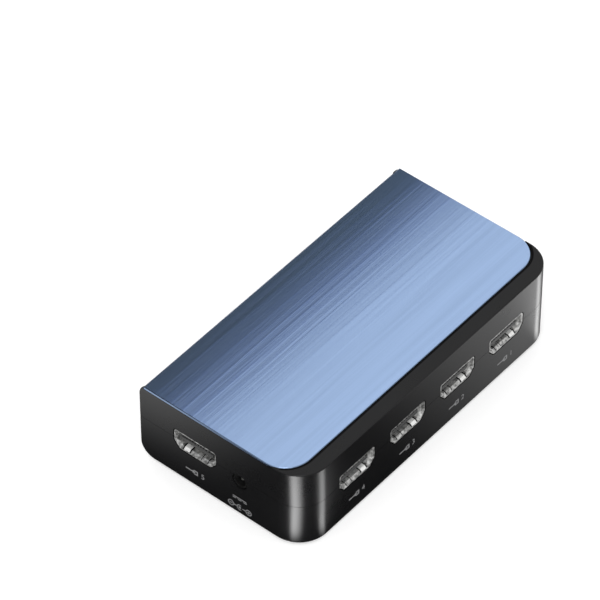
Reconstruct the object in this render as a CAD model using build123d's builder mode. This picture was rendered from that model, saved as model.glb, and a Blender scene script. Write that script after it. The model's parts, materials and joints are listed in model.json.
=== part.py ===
from build123d import *
import os

# A switch box that joins five video inputs to one output. Millimetres.
# +X runs along the box, the row of four inputs faces -Y, +Z is up, and the
# origin lies on the table under the middle of the box.

# Outside of the housing
box_length = 111.6
box_width = 59.0
body_height = 27.6
near_corner_radius = 9.6
far_top_radius = 3.5
far_bottom_radius = 4.8
soft_edge_radius = 0.4
cheek_thickness = 0.9
far_face_inset = 0.6

# Walls, seam and fits
wall = 1.8
seam_gap = 0.1
lip_height = 1.2
lip_clearance = 0.1
slide_clearance = 0.15
seat_clearance = 0.05
least_radius = 0.4
overrun = 2.0

# Brushed plate let into the top
plate_thickness = 0.8
plate_near_inset = 5.1
plate_far_inset = 1.9
plate_corner_radius = 8.7
plate_gap = 0.3
plate_edge_chamfer = 0.2
adhesive_thickness = 0.15
adhesive_margin = 1.0

# Video sockets
socket_pitch = 22.0
inputs_in_row = 4
socket_rise = 1.0
end_socket_y = 9.4
socket_opening_width = 14.0
socket_opening_height = 4.55
socket_sheet = 0.35
socket_depth = 11.5
socket_side_height = 2.75
socket_foot_width = 10.4
socket_corner_radius = 0.5
socket_recess = 0.1
socket_wall_gap = 0.3
tab_slot_gap = 0.1
flare_sideways = 0.15
flare_upwards = 0.75
flare_depth = 0.8
socket_tab_width = 1.8
socket_tab_reach = 2.2
socket_tab_setback = (3.6, 8.8)
socket_spring_width = 2.0
socket_spring_length = 4.6
socket_spring_slot = 0.3
socket_spring_spacing = 6.4

# Insulator and contacts inside a socket
tongue_width = 11.4
tongue_thickness = 1.25
tongue_setback = 2.5
insulator_back_depth = 3.2
insulator_clearance = 0.05
contact_pitch = 1.0
contacts_on_top = 10
contacts_below = 9
contact_width = 0.42
contact_thickness = 0.12
contact_tip_setback = 0.5
contact_tail_length = 1.3
contact_tail_pitch = 0.5
contact_tail_width = 0.24
contact_tail_rise = 1.2

# Power inlet
inlet_y = -6.6
inlet_height = 13.1
inlet_hole_diameter = 5.4
inlet_nose_diameter = 4.9
inlet_nose_recess = 0.4
inlet_bore_diameter = 3.7
inlet_bore_depth = 9.0
inlet_pin_diameter = 1.3
inlet_pin_recess = 1.2
inlet_pin_root_diameter = 1.9
inlet_block_width = 6.4
inlet_block_height = 5.6
inlet_block_depth = 11.0
inlet_wing_width = 1.2
inlet_wing_thickness = 0.7
inlet_spring_width = 1.6
inlet_spring_thickness = 0.25
inlet_spring_offset = 2.0
inlet_spring_hump = 0.5
inlet_spring_hump_depth = 5.0
inlet_spring_hump_length = 3.0
inlet_spring_setback = 1.0
inlet_pin_tip_chamfer = 0.3
inlet_tail_width = 1.4
inlet_tail_length = 1.2
inlet_tail_thickness = 0.4
inlet_notch_gap = 0.3

# Circuit board
board_thickness = 1.6
board_side_gap = 0.5
board_far_gap = 1.9
board_hole_gap = 0.5

# Bosses and screws
boss_diameter = 6.0
boss_from_end = 8.8
boss_from_near = 8.5
boss_from_far = 8.0
pillar_top_height = 7.6
screw_diameter = 2.2
screw_length = 11.0
screw_head_diameter = 4.2
screw_head_height = 1.5
screw_hole_gap = 0.2
screw_pilot_gap = 0.02
screw_seat_depth = 3.6
screw_cross_width = 0.7
screw_cross_length = 2.6
screw_cross_depth = 0.8
standoff_diameter = 4.6
board_screw_length = 5.0
board_screw_far_x = 30.0
board_screw_far_setback = 15.5
board_screw_near_setback = 3.9

# Ribs inside the shells
rib_thickness = 1.2
deck_rib_height = 1.6
deck_ribs = 5
hold_down_clearance = 0.2
hold_down_setback = 8.2
gusset_reach = 2.2
gusset_height = 4.5

# Feet
foot_proud = 0.7
foot_sunk = 0.6
foot_diameter = 9.0
foot_edge_chamfer = 0.3
foot_from_end = 19.5
foot_from_side = 9.0

# Window strip on the far face
window_from_end = 9.8
window_height = 11.4
window_corner_radius = 2.4
window_flange = 1.4
window_flange_thickness = 1.0
window_edge_clearance = 0.12

# Select button and its switch
button_from_end = 17.8
button_diameter = 6.2
button_proud = 0.5
button_dish_depth = 0.25
button_dish_diameter = 4.6
button_flange_diameter = 8.4
button_flange_thickness = 1.0
button_travel = 0.3
button_stop_gap = 0.1
button_edge_chamfer = 0.3
key_body_width = 6.0
key_body_depth = 3.6
key_body_height = 5.2
key_plunger_diameter = 3.0
key_bore_depth = 1.6
key_gap = 1.8
key_frame_thickness = 0.3

# Indicators and receiver behind the window
lamp_pitch = 8.0
lamps_in_row = 5
power_lamp_spacing = 10.0
lamp_width = 1.6
lamp_depth = 1.0
lamp_height = 0.9
lamp_setback = 1.8
lamp_base_share = 0.4
lamp_lens_share = 0.7
guide_finger_size = 2.4
guide_reflector = 1.6
guide_bar_thickness = 1.0
guide_bar_height = 4.4
guide_lamp_gap = 0.3
receiver_from_end = 17.8
receiver_width = 6.0
receiver_depth = 4.2
receiver_height = 6.6
receiver_lift = 1.2
receiver_lens_radius = 1.9
receiver_leg_width = 0.5
receiver_leg_pitch = 1.9
receiver_legs = 3
receiver_lens_gap = 0.3
receiver_leg_end = 0.8

# Parts on the board
mux_size = 14.0
mux_thickness = 1.3
mux_lift = 0.15
mux_leads_per_side = 14
mux_lead_pitch = 0.8
mux_x = 4.0
part_gap = 0.5
lead_width = 0.28
lead_thickness = 0.15
lead_reach = 1.0
control_length = 9.9
control_width = 3.9
control_thickness = 1.4
control_leads_per_side = 8
control_lead_pitch = 1.1
control_x = -20.0
control_y = 8.0
regulator_width = 6.5
regulator_depth = 3.5
regulator_thickness = 1.6
regulator_lead_reach = 1.6
regulator_leads = 3
regulator_lead_pitch = 2.3
regulator_lead_width = 0.75
regulator_lead_thickness = 0.3
regulator_tab_width = 3.0
regulator_from_end = 20.8
regulator_y = -10.5
inductor_size = 6.0
inductor_height = 3.0
inductor_corner_radius = 1.2
inductor_edge_chamfer = 0.3
inductor_from_end = 21.8
inductor_y = 0.5
crystal_length = 11.0
crystal_width = 4.6
crystal_height = 3.6
crystal_flange = 0.4
crystal_flange_thickness = 0.4
crystal_edge_chamfer = 0.4
crystal_x = -5.0
can_diameter = 6.3
can_height = 7.2
can_base_size = 6.6
can_base_height = 0.9
can_groove_depth = 0.25
can_groove_height = 1.0
can_groove_width = 0.5
can_edge_chamfer = 0.3
can_from_end = (19.3, 29.3)
can_y = (12.0, -5.0)
chip_length = 1.6
chip_width = 0.8
chip_height = 0.8
chip_pitch = 2.6
chips_each_side = 5
chip_row_gap = 2.2
resistor_height = 0.5
resistors_in_row = 6
array_length = 2.6
array_width = 1.2
array_height = 0.6
array_spacing = 3.4
array_setback = 3.2
arrays_per_socket = 4

# Shares of a bent lead's reach, from the body outwards, and of its height
lead_shoulder_share = 0.35
lead_foot_share = 0.6
lead_height_share = 0.5

# Levels, front to back and top to bottom, worked out once
left_x = -box_length / 2
right_x = box_length / 2
window_length = box_length - 2 * window_from_end
button_x = left_x + button_from_end
receiver_x = right_x - receiver_from_end
power_lamp_x = receiver_x - power_lamp_spacing
regulator_x = left_x + regulator_from_end
inductor_x = left_x + inductor_from_end
near_y = -box_width / 2
far_y = box_width / 2
underside_z = foot_proud
top_z = underside_z + body_height
deck_z = top_z - plate_thickness - adhesive_thickness
ceiling_z = deck_z - wall
floor_z = underside_z + wall
far_face_y = far_y - far_face_inset
far_inside_y = far_face_y - wall
socket_z = underside_z + body_height / 2 + socket_rise
seam_z = socket_z
socket_outer_height = socket_opening_height + 2 * socket_sheet
board_top_z = socket_z - socket_outer_height / 2
board_bottom_z = board_top_z - board_thickness
window_back_y = far_inside_y - window_flange_thickness
board_far_y = window_back_y - board_far_gap
board_near_y = near_y + wall + board_side_gap
board_half_length = right_x - wall - board_side_gap
pillar_top_z = underside_z + pillar_top_height
plate_near_y = near_y + plate_near_inset
plate_far_y = far_y - plate_far_inset
inlet_z = underside_z + inlet_height
front_axis_z = socket_z
screw_seat_z = underside_z + screw_seat_depth
lens_front_y = window_back_y - receiver_lens_gap
socket_tail_y = near_y + socket_recess + socket_depth
array_y = socket_tail_y + array_setback
chip_row_offset = mux_size / 2 + lead_reach + chip_row_gap
mux_y = array_y + array_width / 2 + part_gap + chip_width / 2 + chip_row_offset
crystal_y = mux_y + chip_row_offset + chip_width / 2 + part_gap + crystal_width / 2 + crystal_flange


def housing_form(side_inset, far_inset, low_z, high_z):
    """Closed solid of the housing's outline, drawn in from the sides and from the far face."""
    with BuildPart() as form:
        with BuildSketch(Plane.YZ.offset(left_x + side_inset)) as profile:
            with Locations(((side_inset - far_inset) / 2, (low_z + high_z) / 2)):
                Rectangle(box_width - side_inset - far_inset, high_z - low_z)
            low_far_point = profile.vertices().group_by(Axis.Y)[0].sort_by(Axis.X)[-1]
            fillet(low_far_point, max(far_bottom_radius - far_inset, least_radius))
            high_far_point = profile.vertices().group_by(Axis.Y)[-1].sort_by(Axis.X)[-1]
            fillet(high_far_point, max(far_top_radius - far_inset, least_radius))
        extrude(amount=box_length - 2 * side_inset)
        near_uprights = form.edges().filter_by(Axis.Z).group_by(Axis.Y)[0]
        fillet(near_uprights, max(near_corner_radius - side_inset, least_radius))
    return form.part


def plan_outline(plane, inset):
    """Plan outline of the walls, drawn in by an inset, for the lip along the seam."""
    with BuildSketch(plane) as outline:
        with Locations((0, -far_face_inset / 2)):
            Rectangle(box_length - 2 * inset, box_width - far_face_inset - 2 * inset)
        fillet(outline.vertices().group_by(Axis.Y)[0], near_corner_radius - inset)
    return outline.sketch


def plate_outline(plane, grow, overhang):
    """Outline of the top plate, grown at its long edges and hanging over at the ends."""
    with BuildSketch(plane) as outline:
        with Locations((0, (plate_near_y + plate_far_y) / 2)):
            Rectangle(box_length + 2 * overhang, plate_far_y - plate_near_y + 2 * grow)
        near_points = outline.vertices().group_by(Axis.Y)[0]
        fillet(near_points, plate_corner_radius + grow)
    return outline.sketch


def socket_outline(plane, grow, sideways=0, upwards=0):
    """Outline of a socket's opening, wide side up: flared by its own amount each way, then grown."""
    half_width = socket_opening_width / 2 + sideways
    half_height = socket_opening_height / 2 + upwards
    half_foot = socket_foot_width / 2 + sideways
    step_y = socket_opening_height / 2 - socket_side_height - upwards / 2
    with BuildSketch(plane) as outline:
        with BuildLine():
            Polyline(
                (-half_width, half_height),
                (half_width, half_height),
                (half_width, step_y),
                (half_foot, -half_height),
                (-half_foot, -half_height),
                (-half_width, step_y),
                close=True,
            )
        make_face()
        fillet(outline.vertices(), socket_corner_radius)
        if grow != 0:
            offset(amount=grow)
    return outline.sketch


def socket_tube(grow):
    """Solid inside a socket's outline: a straight barrel and a mouth that flares to z = 0."""
    throat = Plane.XY.offset(-flare_depth)
    mouth_outline = socket_outline(Plane.XY, grow, flare_sideways, flare_upwards)
    with BuildPart() as tube:
        extrude(socket_outline(throat, grow), amount=flare_depth - socket_depth)
        loft([socket_outline(throat, grow), mouth_outline])
    return tube.part


def lead_profile(plane, shoulder_height):
    """Side view of a bent lead, from a body at x = 0 down to the board at y = 0."""
    shoulder = lead_reach * lead_shoulder_share
    foot = lead_reach * lead_foot_share
    with BuildSketch(plane) as profile:
        with BuildLine():
            Polyline(
                (0, shoulder_height),
                (shoulder, shoulder_height),
                (foot, lead_thickness),
                (lead_reach, lead_thickness),
                (lead_reach, 0),
                (foot - lead_thickness, 0),
                (shoulder - lead_thickness, shoulder_height - lead_thickness),
                (0, shoulder_height - lead_thickness),
                close=True,
            )
        make_face()
    return profile.sketch


def lead_row(count, pitch, body_edge, shoulder_height):
    """Row of leads along Y on the +X side of a chip that stands at the origin."""
    with BuildPart() as lead:
        extrude(lead_profile(Plane.XZ, shoulder_height), amount=lead_width / 2, both=True)
    with BuildPart() as row:
        with Locations((body_edge, 0, 0)):
            with GridLocations(0, pitch, 1, count):
                add(lead.part)
    return row.part


# Places of the sockets: the row on the near face, then the input and the output at the ends
row_x = [socket_pitch * ((inputs_in_row - 1) / 2 - i) for i in range(inputs_in_row)]
sockets = {
    f"input_{i + 1}": Plane((x, near_y + socket_recess, socket_z), (1, 0, 0), (0, -1, 0))
    for i, x in enumerate(row_x)
}
sockets[f"input_{inputs_in_row + 1}"] = Plane(
    (left_x + socket_recess, end_socket_y, socket_z), (0, -1, 0), (-1, 0, 0)
)
sockets["output"] = Plane((right_x - socket_recess, end_socket_y, socket_z), (0, 1, 0), (1, 0, 0))

# Axes of the power inlet and of what stands on the far face, each pointing outwards
inlet = Plane((left_x, inlet_y, inlet_z), (0, -1, 0), (-1, 0, 0))
far_face = Plane((0, far_face_y, front_axis_z), (-1, 0, 0), (0, 1, 0))
button = Plane((button_x, far_face_y, front_axis_z), (-1, 0, 0), (0, 1, 0))

near_boss_y = near_y + boss_from_near
case_screw_places = [
    (side * (right_x - boss_from_end), y)
    for side in (-1, 1)
    for y in (near_boss_y, far_y - boss_from_far)
]
board_screw_near_y = socket_tail_y + board_screw_near_setback
board_screw_places = [
    (-socket_pitch, board_screw_near_y),
    (socket_pitch, board_screw_near_y),
    (-board_screw_far_x, far_y - board_screw_far_setback),
    (board_screw_far_x, far_y - board_screw_far_setback),
]
foot_places = [
    (side_x * (right_x - foot_from_end), side_y * (far_y - foot_from_side))
    for side_x in (-1, 1)
    for side_y in (-1, 1)
]
input_lamp_places = [lamp_pitch * ((lamps_in_row - 1) / 2 - i) for i in range(lamps_in_row)]
lamp_y = board_far_y - lamp_setback

# Everything that is cut through the walls: the sockets' holes, the inlet's and the window's
cut_depth = overrun + wall + overrun
with BuildPart() as wall_cuts:
    for socket in sockets.values():
        hole_grow = socket_sheet + socket_wall_gap
        hole = socket_outline(socket.offset(overrun), hole_grow, flare_sideways, flare_upwards)
        extrude(hole, amount=-cut_depth)
    with BuildSketch(inlet.offset(overrun)):
        Circle(inlet_hole_diameter / 2)
    extrude(amount=-cut_depth)
    with BuildSketch(far_face.offset(overrun)):
        RectangleRounded(window_length, window_height, window_corner_radius)
    extrude(amount=-cut_depth)

# Cavity that both shells close round
cavity = housing_form(wall, far_face_inset + wall, floor_z, ceiling_z)

# What is cut away between the end cheeks on the far side, outside the drawn-in form
full_form = housing_form(0, 0, underside_z, top_z)
inset_form = housing_form(0, far_face_inset, underside_z, top_z)
with BuildPart() as far_relief:
    with BuildSketch(Plane.YZ.offset(left_x + cheek_thickness)):
        with Locations((far_y, (underside_z + top_z) / 2)):
            Rectangle(2 * far_bottom_radius, body_height + 2 * overrun)
    extrude(amount=box_length - 2 * cheek_thickness)
    add(inset_form, mode=Mode.SUBTRACT)

# Whole housing before it is parted at the seam: soft rims, the far side between its cheeks,
# the recess that takes the plate, the cavity and the holes through the walls
with BuildPart() as housing:
    add(full_form)
    end_rims = housing.faces().filter_by(Axis.X).edges()
    flat_rims = housing.faces().filter_by(Axis.Z).edges()
    seams_along_box = (end_rims + flat_rims).filter_by(Axis.X).filter_by_position(Axis.Y, 0, far_y)
    corner_seams = end_rims.filter_by(Axis.Z).filter_by_position(Axis.Y, near_y, 0)
    fillet(end_rims + flat_rims - seams_along_box - corner_seams, soft_edge_radius)
    add(far_relief.part, mode=Mode.SUBTRACT)
    recess_depth = top_z - deck_z + overrun
    recess = plate_outline(Plane.XY.offset(deck_z), plate_gap, plate_gap)
    extrude(recess, amount=recess_depth, mode=Mode.SUBTRACT)
    with BuildSketch(Plane.XY.offset(deck_z)):
        with Locations((0, far_y)):
            Rectangle(box_length - 2 * cheek_thickness, 2 * far_top_radius)
    extrude(amount=recess_depth, mode=Mode.SUBTRACT)
    add(cavity, mode=Mode.SUBTRACT)
    add(wall_cuts.part, mode=Mode.SUBTRACT)

# Lip inside the seam, left out where the walls are open
with BuildPart() as seam_lip:
    lip_foot = Plane.XY.offset(seam_z - lip_height)
    extrude(plan_outline(lip_foot, (wall + lip_clearance) / 2), amount=2 * lip_height)
    extrude(plan_outline(lip_foot, wall), amount=2 * lip_height, mode=Mode.SUBTRACT)
    add(wall_cuts.part, mode=Mode.SUBTRACT)

# Web that stiffens the foot of a standoff
with BuildPart() as gusset:
    with BuildSketch(Plane.XZ):
        with BuildLine():
            Polyline(
                (0, floor_z),
                (standoff_diameter / 2 + gusset_reach, floor_z),
                (standoff_diameter / 2, floor_z + gusset_height),
                (0, floor_z + gusset_height),
                close=True,
            )
        make_face()
    extrude(amount=rib_thickness / 2, both=True)

with BuildPart() as lower_shell:
    add(housing.part)
    split(bisect_by=Plane.XY.offset(seam_z - seam_gap / 2), keep=Keep.BOTTOM)
    add(seam_lip.part)
    with BuildSketch(Plane.XY.offset(floor_z)):
        with Locations(*case_screw_places):
            Circle(boss_diameter / 2)
    extrude(amount=pillar_top_z - floor_z)
    with BuildSketch(Plane.XY.offset(floor_z)):
        with Locations(*board_screw_places):
            Circle(standoff_diameter / 2)
    extrude(amount=board_bottom_z - floor_z)
    with Locations(*board_screw_places):
        with PolarLocations(0, 4):
            add(gusset.part)
    with Locations(*[(x, y, underside_z) for x, y in case_screw_places]):
        Cylinder(
            screw_head_diameter / 2 + screw_hole_gap,
            screw_seat_depth,
            align=(Align.CENTER, Align.CENTER, Align.MIN),
            mode=Mode.SUBTRACT,
        )
        Cylinder(
            screw_diameter / 2 + screw_hole_gap,
            pillar_top_height,
            align=(Align.CENTER, Align.CENTER, Align.MIN),
            mode=Mode.SUBTRACT,
        )
    pilot_depth = board_screw_length
    with BuildSketch(Plane.XY.offset(board_bottom_z)):
        with Locations(*board_screw_places):
            Circle(screw_diameter / 2 + screw_pilot_gap)
    extrude(amount=-pilot_depth, mode=Mode.SUBTRACT)
    with BuildSketch(Plane.XY.offset(underside_z)):
        with Locations(*foot_places):
            Circle(foot_diameter / 2 + seat_clearance)
    extrude(amount=foot_sunk, mode=Mode.SUBTRACT)
lower_shell.part.label = "lower_shell"

with BuildPart() as upper_shell:
    add(housing.part)
    split(bisect_by=Plane.XY.offset(seam_z + seam_gap / 2), keep=Keep.TOP)
    rebate = plan_outline(Plane.XY.offset(seam_z), (wall - lip_clearance) / 2)
    extrude(rebate, amount=lip_height + lip_clearance, mode=Mode.SUBTRACT)
    boss_foot_z = pillar_top_z + seat_clearance
    with BuildSketch(Plane.XY.offset(boss_foot_z)):
        with Locations(*case_screw_places):
            Circle(boss_diameter / 2)
            Circle(screw_diameter / 2 + screw_pilot_gap, mode=Mode.SUBTRACT)
    extrude(amount=screw_seat_z + screw_length + screw_hole_gap - boss_foot_z)
    with BuildSketch(Plane.XY.offset(screw_seat_z + screw_length + screw_hole_gap)):
        with Locations(*case_screw_places):
            Circle(boss_diameter / 2)
    extrude(amount=ceiling_z - screw_seat_z - screw_length - screw_hole_gap)
    deck_rib_length = far_inside_y - near_y - wall
    with BuildSketch(Plane.XY.offset(ceiling_z)):
        with Locations((0, (near_y + wall + far_inside_y) / 2)):
            with GridLocations(socket_pitch, 0, deck_ribs, 1):
                Rectangle(rib_thickness, deck_rib_length)
    extrude(amount=-deck_rib_height)
    hold_down_z = socket_z + socket_outer_height / 2 + hold_down_clearance
    with BuildSketch(Plane.XY.offset(hold_down_z)):
        with Locations((0, near_y + hold_down_setback)):
            Rectangle(2 * (right_x - boss_from_end), rib_thickness)
    extrude(amount=ceiling_z - hold_down_z)
upper_shell.part.label = "upper_shell"

with BuildPart() as top_plate:
    extrude(plate_outline(Plane.XY.offset(top_z - plate_thickness), 0, 0), amount=plate_thickness)
    chamfer(top_plate.faces().sort_by(Axis.Z)[-1].edges(), plate_edge_chamfer)
top_plate.part.label = "top_plate"

with BuildPart() as plate_adhesive:
    sheet = plate_outline(Plane.XY.offset(deck_z), -adhesive_margin, -adhesive_margin)
    extrude(sheet, amount=adhesive_thickness)
plate_adhesive.part.label = "plate_adhesive"

with BuildPart() as front_window:
    with BuildSketch(far_face):
        RectangleRounded(
            window_length - 2 * window_edge_clearance,
            window_height - 2 * window_edge_clearance,
            window_corner_radius - window_edge_clearance,
        )
    extrude(amount=-wall)
    with BuildSketch(far_face.offset(-wall)):
        RectangleRounded(
            window_length + 2 * window_flange,
            window_height + 2 * window_flange,
            window_corner_radius + window_flange,
        )
    extrude(amount=-window_flange_thickness)
    with BuildSketch(button):
        Circle(button_diameter / 2 + slide_clearance)
    extrude(amount=-(wall + window_flange_thickness), mode=Mode.SUBTRACT)
front_window.part.label = "front_window"

with BuildPart() as rubber_feet:
    with BuildSketch(Plane.XY):
        with Locations(*foot_places):
            Circle(foot_diameter / 2)
    extrude(amount=foot_proud + foot_sunk)
    chamfer(rubber_feet.edges().group_by(Axis.Z)[0], foot_edge_chamfer)
rubber_feet.part.label = "rubber_feet"

with BuildPart() as case_screws:
    with BuildSketch(Plane.XY.offset(screw_seat_z)):
        with Locations(*case_screw_places):
            Circle(screw_diameter / 2)
    extrude(amount=screw_length)
    with BuildSketch(Plane.XY.offset(screw_seat_z)):
        with Locations(*case_screw_places):
            Circle(screw_head_diameter / 2)
    extrude(amount=-screw_head_height)
    with BuildSketch(Plane.XY.offset(screw_seat_z - screw_head_height)):
        with Locations(*case_screw_places):
            Rectangle(screw_cross_length, screw_cross_width)
            Rectangle(screw_cross_width, screw_cross_length)
    extrude(amount=screw_cross_depth, mode=Mode.SUBTRACT)
case_screws.part.label = "case_screws"

with BuildPart() as board_screws:
    with BuildSketch(Plane.XY.offset(board_top_z)):
        with Locations(*board_screw_places):
            Circle(screw_diameter / 2)
    extrude(amount=-board_screw_length)
    with BuildSketch(Plane.XY.offset(board_top_z)):
        with Locations(*board_screw_places):
            Circle(screw_head_diameter / 2)
    extrude(amount=screw_head_height)
    with BuildSketch(Plane.XY.offset(board_top_z + screw_head_height)):
        with Locations(*board_screw_places):
            Rectangle(screw_cross_length, screw_cross_width)
            Rectangle(screw_cross_width, screw_cross_length)
    extrude(amount=-screw_cross_depth, mode=Mode.SUBTRACT)
board_screws.part.label = "board_screws"

# Video socket, modelled once with its mouth at z = 0, its wide side towards +Y and -Z inwards
socket_outside = socket_tube(socket_sheet)
socket_inside = socket_tube(0)
with BuildPart() as socket_shell:
    add(socket_outside)
    add(socket_inside, mode=Mode.SUBTRACT)
    tab_x = (socket_opening_width + socket_sheet) / 2
    tab_foot_y = socket_outer_height / 2 + socket_tab_reach
    for setback in socket_tab_setback:
        with BuildSketch(Plane.XY.offset(-setback - socket_tab_width / 2)):
            with Locations((-tab_x, -tab_foot_y / 2), (tab_x, -tab_foot_y / 2)):
                Rectangle(socket_sheet, tab_foot_y)
        extrude(amount=socket_tab_width)
    finger_root = -(socket_depth - insulator_back_depth)
    with BuildSketch(Plane.XZ):
        with GridLocations(socket_spring_spacing, 0, 2, 1):
            with Locations((0, finger_root)):
                Rectangle(
                    socket_spring_width + 2 * socket_spring_slot,
                    socket_spring_length + socket_spring_slot,
                    align=(Align.CENTER, Align.MIN),
                )
                Rectangle(
                    socket_spring_width,
                    socket_spring_length,
                    align=(Align.CENTER, Align.MIN),
                    mode=Mode.SUBTRACT,
                )
    extrude(amount=socket_outer_height, both=True, mode=Mode.SUBTRACT)

# Its insulator: a block that plugs the back, with the tongue that carries the contacts
block_front = -(socket_depth - insulator_back_depth)
with BuildPart() as socket_insulator:
    block = socket_outline(Plane.XY.offset(-socket_depth), -insulator_clearance)
    extrude(block, amount=insulator_back_depth)
    with BuildSketch(Plane.XY.offset(block_front)):
        Rectangle(tongue_width, tongue_thickness)
    extrude(amount=-block_front - tongue_setback)

# One solder tail: it runs down the back of the insulator and out along the board
with BuildPart() as contact_tail:
    with BuildSketch(Plane.YZ):
        with Locations((-socket_outer_height / 2, -socket_depth)):
            Rectangle(contact_tail_rise, contact_thickness, align=(Align.MIN, Align.MAX))
            Rectangle(contact_thickness, contact_tail_length, align=(Align.MIN, Align.MAX))
    extrude(amount=contact_tail_width / 2, both=True)

# Its contacts: strips along both faces of the tongue, and the tails
with BuildPart() as socket_contacts:
    strip_y = (tongue_thickness + contact_thickness) / 2
    with BuildSketch(Plane.XY.offset(block_front)):
        with Locations((0, strip_y)):
            with GridLocations(contact_pitch, 0, contacts_on_top, 1):
                Rectangle(contact_width, contact_thickness)
        with Locations((0, -strip_y)):
            with GridLocations(contact_pitch, 0, contacts_below, 1):
                Rectangle(contact_width, contact_thickness)
    extrude(amount=-block_front - tongue_setback - contact_tip_setback)
    with GridLocations(contact_tail_pitch, 0, contacts_on_top + contacts_below, 1):
        add(contact_tail.part)

# Slots in the board for the tabs of one socket
with BuildPart() as tab_slots:
    with BuildSketch(Plane.XZ.offset(socket_outer_height / 2)):
        for setback in socket_tab_setback:
            with Locations((-tab_x, -setback), (tab_x, -setback)):
                Rectangle(socket_sheet + 2 * tab_slot_gap, socket_tab_width + 2 * tab_slot_gap)
    extrude(amount=board_thickness + overrun, both=True)

socket_pieces = []
for name, socket in sockets.items():
    with BuildPart() as hdmi_shell:
        with Locations(socket):
            add(socket_shell.part)
    hdmi_shell.part.label = f"hdmi_shell_{name}"
    with BuildPart() as hdmi_insulator:
        with Locations(socket):
            add(socket_insulator.part)
    hdmi_insulator.part.label = f"hdmi_insulator_{name}"
    with BuildPart() as hdmi_contacts:
        with Locations(socket):
            add(socket_contacts.part)
    hdmi_contacts.part.label = f"hdmi_contacts_{name}"
    socket_pieces += [hdmi_shell, hdmi_insulator, hdmi_contacts]

inlet_front = wall + slide_clearance
inlet_back = inlet_front + inlet_block_depth
receiver_front_y = lens_front_y - receiver_lens_radius
receiver_y = receiver_front_y - receiver_depth / 2
receiver_z = board_top_z + receiver_lift

with BuildPart() as circuit_board:
    with BuildSketch(Plane.XY.offset(board_bottom_z)) as board_outline:
        with Locations((0, (board_near_y + board_far_y) / 2)):
            Rectangle(2 * board_half_length, board_far_y - board_near_y)
        near_points = board_outline.vertices().group_by(Axis.Y)[0]
        fillet(near_points, near_corner_radius - wall - board_side_gap)
        with Locations(*case_screw_places):
            Circle(boss_diameter / 2 + board_hole_gap, mode=Mode.SUBTRACT)
        with Locations(*board_screw_places):
            Circle(screw_diameter / 2 + screw_hole_gap, mode=Mode.SUBTRACT)
        with Locations((left_x, inlet_y)):
            Rectangle(
                inlet_back + inlet_notch_gap,
                inlet_block_width + 2 * slide_clearance,
                align=(Align.MIN, Align.CENTER),
                mode=Mode.SUBTRACT,
            )
        with Locations((receiver_x, receiver_y)):
            with GridLocations(receiver_leg_pitch, 0, receiver_legs, 1):
                leg_hole = receiver_leg_width + 2 * tab_slot_gap
                Rectangle(leg_hole, leg_hole, mode=Mode.SUBTRACT)
    extrude(amount=board_thickness)
    with Locations(*sockets.values()):
        add(tab_slots.part, mode=Mode.SUBTRACT)
circuit_board.part.label = "circuit_board"

# Power inlet: a moulded block that sinks into the board's notch and rests on it by its wings
spring_front = inlet_front + inlet_spring_setback
spring_outside = inlet_spring_offset + inlet_spring_thickness
bore_end = inlet_nose_recess + inlet_bore_depth
inlet_plan = Plane(inlet.origin, x_dir=(1, 0, 0), z_dir=(0, 0, 1))
with BuildPart() as dc_jack_housing:
    with BuildSketch(inlet.offset(-inlet_nose_recess)):
        Circle(inlet_nose_diameter / 2)
    extrude(amount=inlet_nose_recess - inlet_front)
    with BuildSketch(inlet.offset(-inlet_front)):
        Rectangle(inlet_block_width, inlet_block_height)
        with Locations((0, board_top_z - inlet_z)):
            Rectangle(
                inlet_block_width + 2 * inlet_wing_width,
                inlet_wing_thickness,
                align=(Align.CENTER, Align.MIN),
            )
    extrude(amount=-inlet_block_depth)
    with BuildSketch(inlet.offset(-inlet_nose_recess)):
        Circle(inlet_bore_diameter / 2)
    extrude(amount=-inlet_bore_depth, mode=Mode.SUBTRACT)
    with BuildSketch(inlet.offset(-bore_end)):
        Circle(inlet_pin_root_diameter / 2)
    extrude(amount=bore_end - inlet_back, mode=Mode.SUBTRACT)
    with BuildSketch(inlet_plan):
        with Locations((spring_front - seat_clearance, 0)):
            Rectangle(
                bore_end - spring_front + seat_clearance,
                spring_outside + seat_clearance,
                align=Align.MIN,
            )
        with Locations((spring_front, inlet_spring_offset - seat_clearance)):
            Rectangle(
                inlet_back - spring_front,
                inlet_spring_thickness + 2 * seat_clearance,
                align=Align.MIN,
            )
    extrude(amount=inlet_spring_width / 2 + seat_clearance, both=True, mode=Mode.SUBTRACT)
dc_jack_housing.part.label = "dc_jack_housing"

with BuildPart() as dc_jack_pin:
    with BuildSketch(inlet.offset(-inlet_pin_recess)):
        Circle(inlet_pin_diameter / 2)
    extrude(amount=inlet_pin_recess - bore_end)
    chamfer(dc_jack_pin.edges().group_by(Axis.X)[0], inlet_pin_tip_chamfer)
    with BuildSketch(inlet.offset(-bore_end)):
        Circle(inlet_pin_root_diameter / 2)
    extrude(amount=bore_end - inlet_back - inlet_tail_length)
    with BuildSketch(inlet.offset(-inlet_back - inlet_tail_length)):
        Rectangle(inlet_tail_width, inlet_z - board_top_z, align=(Align.CENTER, Align.MAX))
    extrude(amount=inlet_tail_thickness)
dc_jack_pin.part.label = "dc_jack_pin"

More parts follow.
